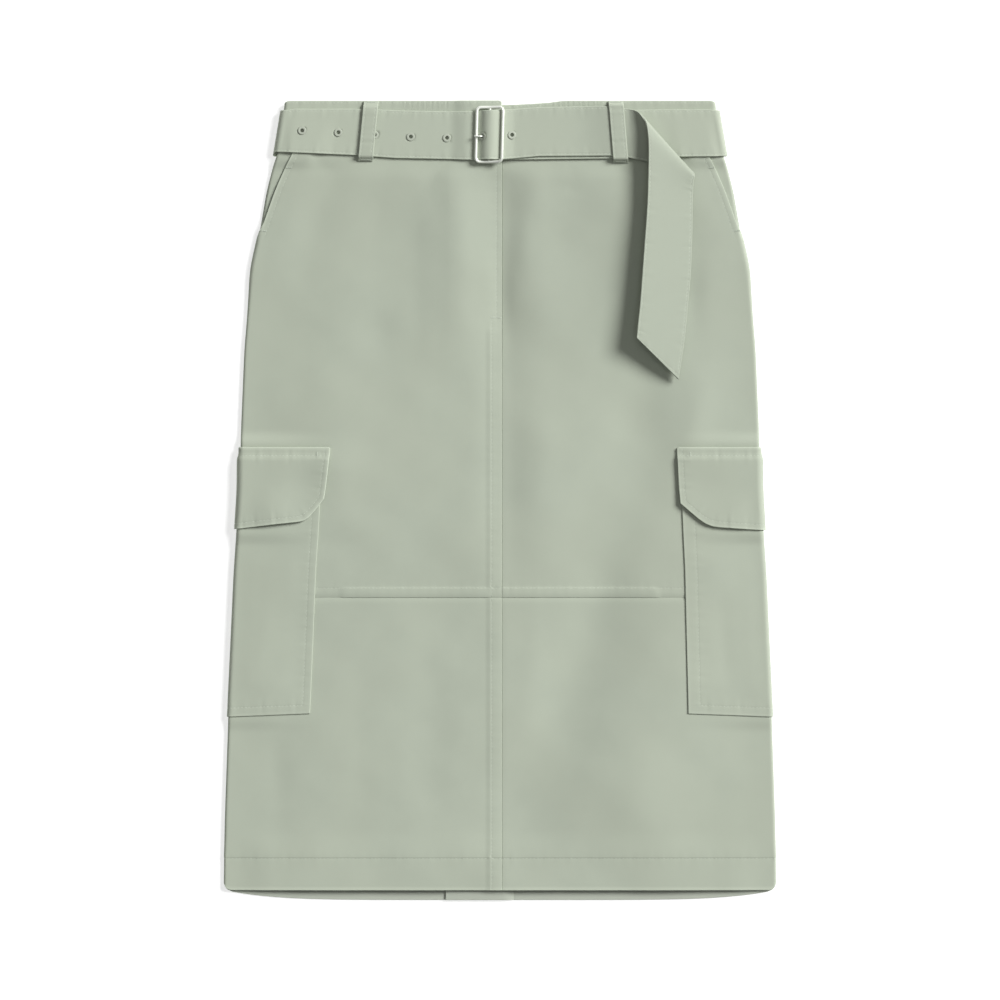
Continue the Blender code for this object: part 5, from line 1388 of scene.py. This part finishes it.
def round_off(along, across, block, centre):
    """Moves the points round a block of cells on to a circle about a place on the strap."""
    i0, i1, j0, j1 = block
    ring = [(i, j) for i in range(i0, i1 + 1) for j in (j0, j1)]
    ring += [(i, j) for j in range(j0 + 1, j1) for i in (i0, i1)]
    for spot in ring:
        angle = math.atan2(across[spot] - centre[1], along[spot] - centre[0])
        along[spot] = centre[0] + EYELET_HOLE * math.cos(angle)
        across[spot] = centre[1] + EYELET_HOLE * math.sin(angle)


def eyelet_holes(along, across, face):
    """Makes room in the strap's grid for the eyelets. face is its outer face; the blocks of cells that the
    holes take are given back."""
    blocks = []
    for _, spot, _ in eyelet_spots():
        distance = np.linalg.norm(face - spot, axis=2)
        i, j = np.unravel_index(np.argmin(distance), distance.shape)
        onwards = unit(face[i + 1, j] - face[i - 1, j])
        aside = unit(face[i, j + 1] - face[i, j - 1])
        from_point = spot - face[i, j]
        block = (i - HOLE_CELLS, i + HOLE_CELLS, j - HOLE_CELLS, j + HOLE_CELLS)
        centre = (along[i, j] + from_point @ onwards, across[i, j] + from_point @ aside)
        round_off(along, across, block, centre)
        blocks.append(block)
    return blocks


def belt_strap():
    course = strap_course()
    widths = np.linalg.norm(course.lower - course.upper, axis=1)
    width, length = float(np.median(widths)), course.gone[-1]
    slot_down = EYELET_DOWN[0] - lookup(RING_EDGES, BAR_X, "top")
    slot_rows = [slot_down - PRONG_SLOT_HALF, slot_down + PRONG_SLOT_HALF]
    slot_ends = [course.gone[SLOT_FROM], course.gone[CURL_COUNT - 1] + SLOT_PAST]
    sides = [BELT_LINE_IN, width - BELT_LINE_IN]
    rows = places(width, STRAP_STEP, (FOLDED, FOLDED), sides, slot_rows)
    middle_x = np.abs(course.upper[:, 0] + course.lower[:, 0]) / 2
    bends = course.gone[middle_x > fold_start(BELT_LINE) - FOLD_RADIUS]
    kept = [*course.gone[:CURL_COUNT], *slot_ends, *bends]
    columns = places(length, STRAP_STEP, (RAW, FOLDED), [length - BELT_LINE_IN], kept)
    actual = np.interp(columns, course.gone, widths)
    across = fit(rows, actual, *STRAP_KEPT).T
    along = columns[:, None] + 0.0 * across
    spots = grid(columns, rows, along, across, (RAW, FOLDED, FOLDED, FOLDED), rim=NARROW_WEAR_AND_HIGHLIGHT)
    ends = [course.gone[CURL_COUNT - 1] + BELT_LINE_START, length - BELT_LINE_IN]
    lines = [[(ends[0], side), (ends[1], side)] for side in sides]
    lines.append([(ends[1], side) for side in sides])
    relief = seam_relief(along, rows[None, :] + 0.0 * along, lines) * spots.full

    outermost = strap_surface(course, along, across, np.ones(along.shape), 0.0 * along)
    along, across = np.array(along), np.array(across)
    slot_columns = np.searchsorted(columns, np.array(slot_ends) - LEAST_STEP / 2)
    holes = [(*slot_columns, *np.searchsorted(rows, np.array(slot_rows) - LEAST_STEP / 2))]
    holes += eyelet_holes(along, across, outermost)

    faces = [strap_surface(course, along, across, sign * spots.full, sign * relief) for sign in (1, -1)]
    # painted shade on the belt's free end, which stands tilted towards the light
    painted_shade = ease(along, length - FREE_END[0], length - FREE_END[1])
    flat = np.stack([along, across], -1)
    strap = shell("cloth_belt_strap", *faces, flat, spots.worn, belt_material(), holes, painted_shade)

    def stitched(sign):
        def surface(a, b, extra):
            placed = np.where(b > width / 2, b - width + np.interp(a, columns, actual), b)
            lifted = seam_relief(a, b, lines) + extra
            return strap_surface(course, a, placed, sign * np.ones(a.shape), sign * lifted)
        return surface

    stitching = [
        threads("stitching_belt_outside", stitched(1), lines),
        threads("stitching_belt_inside", stitched(-1), lines),
    ]
    middle = strap_surface(course, spots.turns, spots.downs, 0.0 * spots.turns, 0.0 * spots.turns)
    declare("belt_strap", middle, typical=np.median)


# ---------------------------------------------------------------- eyelets and buckle
def eyelet_spots():
    """(number, point on the strap's outer face, direction out of it) of each eyelet."""
    found = []
    for number, (step, down) in enumerate(EYELET_DOWN.items(), 1):
        x = EYELET_IN_USE + step * EYELET_PITCH
        if step in EYELET_SEATS:
            low, high = EYELET_SEATS[step]
            slope = math.atan2(high.out - low.out, high.x - low.x)
            facing = np.array([-math.sin(slope), 0.0, math.cos(slope)])
            level = centre_level() + (low.out + high.out) / 2
            spot = np.array([(low.x + high.x) / 2, TOP_Y - down, level]) + facing * STRAP
        else:
            facing = np.array([0.0, 0.0, 1.0])
            turn = turn_at(x, down)
            spot = np.array([x, TOP_Y - down, skin(turn, down, belt_seat(turn, down) + STRAP)[2]])
        found.append((number, spot, facing))
    return found


def select_faces(chosen):
    """Selects the edited mesh's faces for which chosen(face) is true, and no others."""
    mesh = bmesh.from_edit_mesh(bpy.context.object.data)
    bpy.ops.mesh.select_all(action="DESELECT")
    for face in mesh.faces:
        if chosen(face):
            face.select_set(True)
    bmesh.update_edit_mesh(bpy.context.object.data)


def on_axis(face):
    return face.calc_center_median().xy.length < AXIS_NEAR


def new_primitive(add, **settings):
    """Adds a primitive with nothing else selected, and opens it for editing."""
    bpy.ops.object.select_all(action="DESELECT")
    add(**settings)
    bpy.ops.object.mode_set(mode="EDIT")
    bpy.ops.mesh.select_mode(type="FACE")
    return bpy.context.object


def settle(made):
    """Leaves an object at the origin, unturned and unscaled, with its mesh where it is."""
    made.data.transform(made.matrix_world)
    made.matrix_world = Matrix()


def finish_modifier(made, kind, **settings):
    step = made.modifiers.new(kind.lower(), kind)
    for name, value in settings.items():
        setattr(step, name, value)
    bpy.ops.object.modifier_apply(modifier=step.name)


def eyelet_ring():
    """A turned ring about the Z axis: a rolled flange on the strap's face and a barrel through its hole."""
    height = EYELET_TOP - EYELET_SEAT
    made = new_primitive(
        bpy.ops.mesh.primitive_cylinder_add,
        vertices=EYELET_SIDES,
        radius=EYELET_FLANGE,
        depth=height,
        location=(0, 0, EYELET_SEAT + height / 2),
    )
    select_faces(lambda face: face.normal.z < -END_FACE)
    bpy.ops.mesh.inset(thickness=EYELET_FLANGE - EYELET_BARREL)
    bpy.ops.mesh.extrude_region_move(TRANSFORM_OT_translate={"value": (0, 0, -STRAP)})
    select_faces(lambda face: face.normal.z > END_FACE)
    bpy.ops.mesh.inset(thickness=EYELET_FLANGE - EYELET_BORE)
    select_faces(lambda face: face.normal.z < -END_FACE and on_axis(face))
    bpy.ops.mesh.inset(thickness=EYELET_BARREL - EYELET_BORE)
    select_faces(lambda face: abs(face.normal.z) > END_FACE and on_axis(face))
    bpy.ops.mesh.bridge_edge_loops()
    bpy.ops.object.mode_set(mode="OBJECT")
    settle(made)
    finish_modifier(
        made, "BEVEL", width=EYELET_ROLL, segments=ROLL_STEPS, limit_method="ANGLE", angle_limit=SHARP
    )
    bpy.ops.object.shade_smooth_by_angle(angle=SHARP)
    return made


def eyelets():
    ring = eyelet_ring()
    for number, spot, facing in eyelet_spots():
        mesh = ring.data.copy()
        turned = Vector((0, 0, 1)).rotation_difference(Vector(facing)).to_matrix().to_4x4()
        mesh.transform(Matrix.Translation(Vector(spot)) @ turned)
        metal_piece(f"eyelet_{number}", mesh, f"belt_eyelet_{number}", eyelet_material())
    bpy.data.objects.remove(ring)


def metal_piece(name, mesh, node, material):
    piece = add_piece(name, mesh, material)
    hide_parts(node)


def wire(points, radius, closed=False):
    """A round wire bent along a path: one point drawn out along it, then given its thickness."""
    new_primitive(bpy.ops.mesh.primitive_plane_add, size=radius, location=points[0])
    bpy.ops.mesh.select_mode(type="VERT")
    bpy.ops.mesh.select_all(action="SELECT")
    bpy.ops.mesh.merge(type="CENTER")
    bpy.ops.mesh.select_all(action="SELECT")
    path = list(points) + ([points[0]] if closed else [])
    for here, there in zip(path, path[1:]):
        bpy.ops.mesh.extrude_vertices_move(TRANSFORM_OT_translate={"value": tuple(there - here)})
    bpy.ops.mesh.select_all(action="SELECT")
    bpy.ops.mesh.remove_doubles(threshold=radius * WIRE_MERGE)
    bpy.ops.object.mode_set(mode="OBJECT")
    bpy.ops.object.convert(target="CURVE")
    made = bpy.context.object
    made.data.bevel_depth = radius
    made.data.bevel_resolution = WIRE_ROUND
    made.data.use_fill_caps = True
    bpy.ops.object.convert(target="MESH")
    made = bpy.context.object
    settle(made)
    bpy.ops.object.shade_smooth_by_angle(angle=SHARP)
    return made


def frame_out(x):
    """How far out the frame's wire is: it bows down to the bar between its uprights."""
    t = (x - BUCKLE_LEFT) / (BUCKLE_RIGHT - BUCKLE_LEFT)
    return LEFT_OUT + (RIGHT_OUT - LEFT_OUT) * t - FRAME_BOW * (1 - (2 * t - 1) ** 2)


def buckle_point(x, down):
    return Vector((x + buckle_lean(down), TOP_Y - down, centre_level() + frame_out(x)))


def buckle_outline():
    """The frame's path as (x, down): an oblong with rounded corners."""
    path = []
    for x, down, first in (
        (BUCKLE_RIGHT, BUCKLE_TOP, 0),
        (BUCKLE_LEFT, BUCKLE_TOP, 90),
        (BUCKLE_LEFT, BUCKLE_BOTTOM, 180),
        (BUCKLE_RIGHT, BUCKLE_BOTTOM, 270),
    ):
        inward_x = -1 if x > BAR_X else 1
        inward_down = 1 if down < BELT_LINE else -1
        middle_x, middle_down = x + inward_x * BUCKLE_CORNER, down + inward_down * BUCKLE_CORNER
        for angle in np.radians(first + np.linspace(0, 90, CORNER_STEPS)):
            corner = (BUCKLE_CORNER * math.cos(angle), BUCKLE_CORNER * math.sin(angle))
            path.append((middle_x + corner[0], middle_down - corner[1]))
        if first in (0, 180):
            straight = BUCKLE_RIGHT - BUCKLE_LEFT - 2 * BUCKLE_CORNER
            shares = np.arange(1, CORNER_STEPS) / CORNER_STEPS
            path += [(x + inward_x * (BUCKLE_CORNER + share * straight), down) for share in shares]
    return path


def buckle():
    frame_wire = wire([buckle_point(*spot) for spot in buckle_outline()], WIRE, closed=True)
    bar = wire([buckle_point(BAR_X, down) for down in (BUCKLE_TOP, BELT_LINE, BUCKLE_BOTTOM)], BAR)
    frame_wire.select_set(True)
    bar.select_set(True)
    bpy.context.view_layer.objects.active = frame_wire
    bpy.ops.object.join()
    metal_piece("buckle_frame", frame_wire.data.copy(), "belt_buckle_frame", buckle_material())

    radius = BAR + SEAM + PRONG
    hook = [(BAR_X + radius * math.cos(a), BAR_OUT + radius * math.sin(a)) for a in np.radians(HOOK_ANGLES)]
    route = [(x, centre_level() + out) for x, out in hook + [tuple(spot) for spot in PRONG_ROUTE]]
    y = TOP_Y - EYELET_DOWN[0]
    prong = wire([Vector((x, y, z)) for x, z in route], PRONG)
    metal_piece("buckle_prong", prong.data.copy(), "belt_buckle_prong", buckle_material())
    for old in (frame_wire, prong):
        bpy.data.objects.remove(old)


# ---------------------------------------------------------------- finishes
class Number:
    """A number in a shader, on which sums are written as plain expressions."""

    def __init__(self, shader, socket):
        self.shader = shader
        self.socket = socket

    def math(self, operation, *values):
        inputs = dict(enumerate(values))
        made = self.shader.node("ShaderNodeMath", {"operation": operation}, inputs)
        return Number(self.shader, made.outputs[0])

    def __add__(self, other):
        return self.math("ADD", self, other)

    def __sub__(self, other):
        return self.math("SUBTRACT", self, other)

    def __rsub__(self, other):
        return self.math("SUBTRACT", other, self)

    def __mul__(self, other):
        return self.math("MULTIPLY", self, other)

    def sine(self):
        return self.math("SINE", self)

    def between(self, low, high):
        """0 below low, 1 above high, eased."""
        settings = {"interpolation_type": "SMOOTHSTEP"}
        made = self.shader.node("ShaderNodeMapRange", settings, {0: self, 1: low, 2: high})
        return Number(self.shader, made.outputs[0])

    __radd__ = __add__
    __rmul__ = __mul__


class Shader:
    """A material and the nodes that it is built of."""

    def __init__(self, name):
        self.material = bpy.data.materials.new(name)
        self.material.use_nodes = True
        self.tree = self.material.node_tree
        self.surface = self.tree.nodes["Principled BSDF"]

    def feed(self, socket, value):
        if isinstance(value, Number):
            value = value.socket
        if isinstance(value, bpy.types.NodeSocket):
            self.tree.links.new(value, socket)
        else:
            socket.default_value = value

    def node(self, kind, settings, inputs):
        """A node of a type with its settings, then the values or links of its sockets by name or number."""
        made = self.tree.nodes.new(kind)
        for name, value in settings.items():
            setattr(made, name, value)
        for name, value in inputs.items():
            self.feed(made.inputs[name], value)
        return made

    def place(self):
        """Where a point is on its own object."""
        return self.node("ShaderNodeTexCoord", {}, {}).outputs["Object"]

    def attribute(self, name):
        made = self.node("ShaderNodeAttribute", {"attribute_name": name}, {})
        return Number(self, made.outputs["Fac"])

    def noise(self, place, scale, detail=2.0):
        made = self.node("ShaderNodeTexNoise", {}, {"Vector": place, "Scale": scale, "Detail": detail})
        return Number(self, made.outputs[0])

    def mix(self, factor, one, other, blend="MIX"):
        settings = {"data_type": "RGBA", "blend_type": blend}
        return self.node("ShaderNodeMix", settings, {0: factor, 6: one, 7: other}).outputs[2]

    def bump(self, height, distance):
        inputs = {"Height": height, "Distance": distance, "Strength": 1.0}
        return self.node("ShaderNodeBump", {}, inputs).outputs[0]

    def finish(self, sockets):
        for name, value in sockets.items():
            self.feed(self.surface.inputs[name], value)
        return self.material


def shade(colour, factor):
    return (*(channel * factor for channel in colour), 1.0)


def twill(shader, colour, inner_face):
    """Cotton twill: diagonal wales of fine yarns on the cloth's own map, with painted shade in the grooves
    between the wales, paler at folded edges partly with wear and partly with a painted highlight, and darkened
    with painted shade where the cloth's attribute says so. inner_face is the colour of its other side."""
    cloth = shader.node("ShaderNodeUVMap", {"uv_map": "cloth"}, {}).outputs[0]
    parts = shader.node("ShaderNodeSeparateXYZ", {}, {0: cloth}).outputs
    across, down = Number(shader, parts[0]), Number(shader, parts[1])
    place = shader.place()
    slub = shader.noise(place, YARN_NOISE, 3.0)
    wale = ((across + down) * (2 * math.pi / WALE) + slub * SLUB_BEND).sine() * 0.5 + 0.5
    yarn = ((across * 0.5 - down) * (2 * math.pi / YARN)).sine() * 0.5 + 0.5
    relief = wale * WEAVE_PARTS[0] + yarn * WEAVE_PARTS[1] * wale + slub * WEAVE_PARTS[2]
    clouds = shader.noise(place, CLOUD_NOISE, 3.0).between(0.30, 0.70)
    patches = shader.noise(place, PATCH_NOISE, 2.0).between(0.35, 0.65)
    warmer = (colour[0] * (1 + PATCH_WARMTH), colour[1], colour[2] * (1 - PATCH_WARMTH))
    # paler folded edges and seam ridges: partly wear, partly a painted highlight
    worn = shader.attribute("worn") * (WEAR_AND_HIGHLIGHT_SHARES[0] + WEAR_AND_HIGHLIGHT_SHARES[1] * slub)

    body = shader.mix(clouds, shade(colour, CLOUD_SHADES[0]), shade(colour, CLOUD_SHADES[1]))
    body = shader.mix(patches * PATCH_SHARE, body, shade(warmer, 1.0))
    # painted shade in the grooves between the wales
    body = shader.mix((1 - wale) * GROOVE_SHARE, body, shade(colour, GROOVE_SHADE))
    body = shader.mix(worn, body, shade(colour, WEAR_AND_HIGHLIGHT_PALER))
    body = shader.mix(shader.attribute("inside") * INSIDE_SHARE, body, shade(inner_face, 1.0))
    # painted shade: the belt's free end is darkened
    body = shader.mix(shader.attribute("painted_shade"), body, shade((PAINTED_SHADE_TONE,) * 3, 1.0), "MULTIPLY")
    return shader.finish(
        {
            "Base Color": body,
            "Roughness": 0.80 + 0.10 * slub,
            "Normal": shader.bump(relief, WEAVE_DEPTH),
            "Sheen Weight": 0.12,
            "Sheen Roughness": 0.45,
            "Specular IOR Level": 0.25,
        }
    )


def sewing_thread(shader, colour):
    """Twisted thread, a little smoother than the cloth."""
    strands = shader.noise(shader.place(), THREAD_NOISE)
    return shader.finish(
        {
            "Base Color": shader.mix(strands, *(shade(colour, factor) for factor in THREAD_SHADES)),
            "Roughness": 0.50 + 0.20 * strands,
            "Normal": shader.bump(strands, STRAND_DEPTH),
        }
    )


def metal(shader, colour, surface):
    """Satin metal with a thin film of handling on it, or painted metal where it is less metallic."""
    place = shader.place()
    scuffs = shader.noise(place, SCUFF_NOISE, 4.0)
    film = shader.noise(place, FILM_NOISE).between(0.35, 0.65)
    return shader.finish(
        {
            "Base Color": shader.mix(film, shade(colour, FILM_SHADE), shade(colour, 1.0)),
            "Metallic": surface.metallic,
            "Roughness": surface.roughness + 0.06 * scuffs,
            "Normal": shader.bump(scuffs, SCUFF_DEPTH),
        }
    )


def colours_of():
    return bpy.context.scene.skirt_colours


def known_material(name, build, *looks):
    """The material of this name, built the first time that it is asked for."""
    return bpy.data.materials.get(name) or build(Shader(name), *looks)


def cloth_material():
    return known_material("sage_cloth", twill, colours_of().cloth, colours_of().inside)


def belt_material():
    return known_material("belt_cloth", twill, colours_of().belt, colours_of().belt)


def thread_material():
    return known_material("sewing_thread", sewing_thread, colours_of().thread)


def buckle_material():
    return known_material("satin_metal", metal, colours_of().metal, SATIN)


def eyelet_material():
    return known_material("matched_metal", metal, colours_of().eyelet, MATCHED)


# ---------------------------------------------------------------- stage
def light(lamp):
    """Puts up a lamp that shines on the origin."""
    data = bpy.data.lights.new(lamp.name, lamp.kind)
    data.energy = lamp.power
    if lamp.kind == "SUN":
        data.angle = lamp.size
    else:
        data.shape = "DISK"
        data.size = lamp.size
    lit = add_object(lamp.name, data)
    lit.location = lamp.place
    lit.rotation_mode = "QUATERNION"
    lit.rotation_quaternion = (-Vector(lamp.place)).to_track_quat("-Z", "Y")


def floor_piece():
    floor = new_primitive(bpy.ops.mesh.primitive_plane_add, size=FLOOR_SIZE, location=(0, 0, -FLOOR_DROP))
    bpy.ops.mesh.subdivide(number_cuts=FLOOR_CUTS)
    bpy.ops.object.mode_set(mode="OBJECT")
    floor.name = "floor"
    settle(floor)
    colour = shade(colours_of().floor, 1.0)
    sockets = {
        "Base Color": colour,
        "Roughness": 0.9,
        "Emission Color": colour,
        "Emission Strength": FLOOR_GLOW,
    }
    floor.data.materials.append(Shader("pale_floor").finish(sockets))


def stage():
    """A pale floor under soft studio light, seen from straight above."""
    floor_piece()
    for lamp in LAMPS:
        light(lamp)
    scene = bpy.context.scene
    world = bpy.data.worlds.new("studio")
    world.use_nodes = True
    background = world.node_tree.nodes["Background"]
    background.inputs["Color"].default_value = (1.0, 1.0, 1.0, 1.0)
    background.inputs["Strength"].default_value = WORLD_LIGHT
    scene.world = world
    scene.view_settings.view_transform = "Standard"
    lens = bpy.data.cameras.new("camera")
    lens.sensor_width = SENSOR
    lens.lens = SENSOR * CAMERA_HEIGHT / FRAME_WIDTH
    lens.clip_end = FARTHEST
    camera = add_object("camera", lens)
    camera.location = (0.0, CAMERA_Y, CAMERA_HEIGHT)
    scene.camera = camera


# ---------------------------------------------------------------- add-on
class SkirtSizes(bpy.types.PropertyGroup):
    """Sizes of the stitching."""

    stitch_length: bpy.props.FloatProperty(
        name="Stitch Length", description="Length of the thread of one stitch", default=0.0026, unit="LENGTH"
    )
    stitch_pitch: bpy.props.FloatProperty(
        name="Stitch Pitch", description="From one stitch to the next", default=0.0033, unit="LENGTH"
    )
    thread_radius: bpy.props.FloatProperty(
        name="Thread Radius", description="Half the thickness of the thread", default=0.00024, unit="LENGTH"
    )
    groove_depth: bpy.props.FloatProperty(
        name="Groove Depth", description="How far stitches draw cloth in", default=0.00014, unit="LENGTH"
    )
    pucker_height: bpy.props.FloatProperty(
        name="Pucker Height", description="Height of ripples beside a seam", default=0.00007, unit="LENGTH"
    )


class SkirtColours(bpy.types.PropertyGroup):
    """Colours of the cloth and metal."""

    cloth: bpy.props.FloatVectorProperty(
        name="Cloth", description="Colour of the twill", default=(0.440, 0.485, 0.395), subtype="COLOR"
    )
    belt: bpy.props.FloatVectorProperty(
        name="Belt", description="Colour of the belt's twill", default=(0.458, 0.505, 0.411), subtype="COLOR"
    )
    inside: bpy.props.FloatVectorProperty(
        name="Inside", description="Colour of the inner face", default=(0.40, 0.42, 0.37), subtype="COLOR"
    )
    thread: bpy.props.FloatVectorProperty(
        name="Thread", description="Colour of the sewing thread", default=(0.53, 0.58, 0.49), subtype="COLOR"
    )
    metal: bpy.props.FloatVectorProperty(
        name="Metal", description="Colour of the buckle", default=(0.93, 0.96, 0.88), subtype="COLOR"
    )
    eyelet: bpy.props.FloatVectorProperty(
        name="Eyelets", description="Colour of the eyelets", default=(0.48, 0.52, 0.43), subtype="COLOR"
    )
    floor: bpy.props.FloatVectorProperty(
        name="Floor", description="Colour of the floor", default=(0.62, 0.62, 0.62), subtype="COLOR"
    )


class SKIRT_OT_backs(bpy.types.Operator):
    """Makes the two back panels and the vent's underlap"""

    bl_idname = "skirt.backs"
    bl_label = "Back Panels"

    def execute(self, context):
        for word, side in SIDES.items():
            back_panel(word, side)
        vent_underlap()
        return {"FINISHED"}


class SKIRT_OT_fronts(bpy.types.Operator):
    """Makes the upper and lower front panels"""

    bl_idname = "skirt.fronts"
    bl_label = "Front Panels"

    def execute(self, context):
        for word, side in SIDES.items():
            front_upper(word, side)
            front_lower(word, side)
        return {"FINISHED"}


class SKIRT_OT_openings(bpy.types.Operator):
    """Makes the hip pocket facings and the fly's underlap"""

    bl_idname = "skirt.openings"
    bl_label = "Facings and Fly"

    def execute(self, context):
        for word, side in SIDES.items():
            hip_facing(word, side)
        fly_underlap()
        return {"FINISHED"}


class SKIRT_OT_waistband(bpy.types.Operator):
    """Makes the waistband's three pieces"""

    bl_idname = "skirt.waistband"
    bl_label = "Waistband"

    def execute(self, context):
        waistband_back()
        waistband_front_left()
        waistband_front_right()
        return {"FINISHED"}


class SKIRT_OT_cargo_pockets(bpy.types.Operator):
    """Makes the cargo pockets and their flaps"""

    bl_idname = "skirt.cargo_pockets"
    bl_label = "Cargo Pockets"

    def execute(self, context):
        for word, side in SIDES.items():
            cargo_pocket(word, side)
            cargo_flap(word, side)
        return {"FINISHED"}


class SKIRT_OT_belt(bpy.types.Operator):
    """Makes the belt strap with its holes and edge stitching"""

    bl_idname = "skirt.belt"
    bl_label = "Belt Strap"

    def execute(self, context):
        belt_strap()
        return {"FINISHED"}


class SKIRT_OT_loops(bpy.types.Operator):
    """Makes the five belt loops"""

    bl_idname = "skirt.loops"
    bl_label = "Belt Loops"

    def execute(self, context):
        for word in FRONT_LOOPS:
            front_loop(word)
        for word in BACK_LOOPS:
            back_loop(word)
        return {"FINISHED"}


class SKIRT_OT_hardware(bpy.types.Operator):
    """Makes the buckle, its prong and the eyelets"""

    bl_idname = "skirt.hardware"
    bl_label = "Buckle and Eyelets"

    def execute(self, context):
        buckle()
        eyelets()
        return {"FINISHED"}


class SKIRT_OT_stage(bpy.types.Operator):
    """Lays the floor and sets the lights and the camera"""

    bl_idname = "skirt.stage"
    bl_label = "Stage"

    def execute(self, context):
        stage()
        return {"FINISHED"}


OPERATORS = (
    SKIRT_OT_backs,
    SKIRT_OT_openings,
    SKIRT_OT_fronts,
    SKIRT_OT_waistband,
    SKIRT_OT_cargo_pockets,
    SKIRT_OT_belt,
    SKIRT_OT_loops,
    SKIRT_OT_hardware,
    SKIRT_OT_stage,
)


class SKIRT_PT_tools(bpy.types.Panel):
    """Lists the skirt's operators"""

    bl_label = "Skirt"
    bl_idname = "SKIRT_PT_tools"
    bl_space_type = "VIEW_3D"
    bl_region_type = "UI"
    bl_category = "Skirt"

    def draw(self, context):
        for group in (context.scene.skirt_sizes, context.scene.skirt_colours):
            for name in group.__annotations__:
                self.layout.prop(group, name)
        for operator in OPERATORS:
            self.layout.operator(operator.bl_idname)


CLASSES = (SkirtSizes, SkirtColours, *OPERATORS, SKIRT_PT_tools)


def register():
    for each in CLASSES:
        bpy.utils.register_class(each)
    bpy.types.Scene.skirt_sizes = bpy.props.PointerProperty(type=SkirtSizes)
    bpy.types.Scene.skirt_colours = bpy.props.PointerProperty(type=SkirtColours)


def unregister():
    del bpy.types.Scene.skirt_colours
    del bpy.types.Scene.skirt_sizes
    for each in reversed(CLASSES):
        bpy.utils.unregister_class(each)


def main():
    """Makes the whole skirt."""
    register()
    bpy.ops.skirt.stage()
    bpy.ops.skirt.backs()
    bpy.ops.skirt.openings()
    bpy.ops.skirt.fronts()
    bpy.ops.skirt.waistband()
    bpy.ops.skirt.cargo_pockets()
    bpy.ops.skirt.belt()
    bpy.ops.skirt.loops()
    bpy.ops.skirt.hardware()


if __name__ == "__main__":
    main()
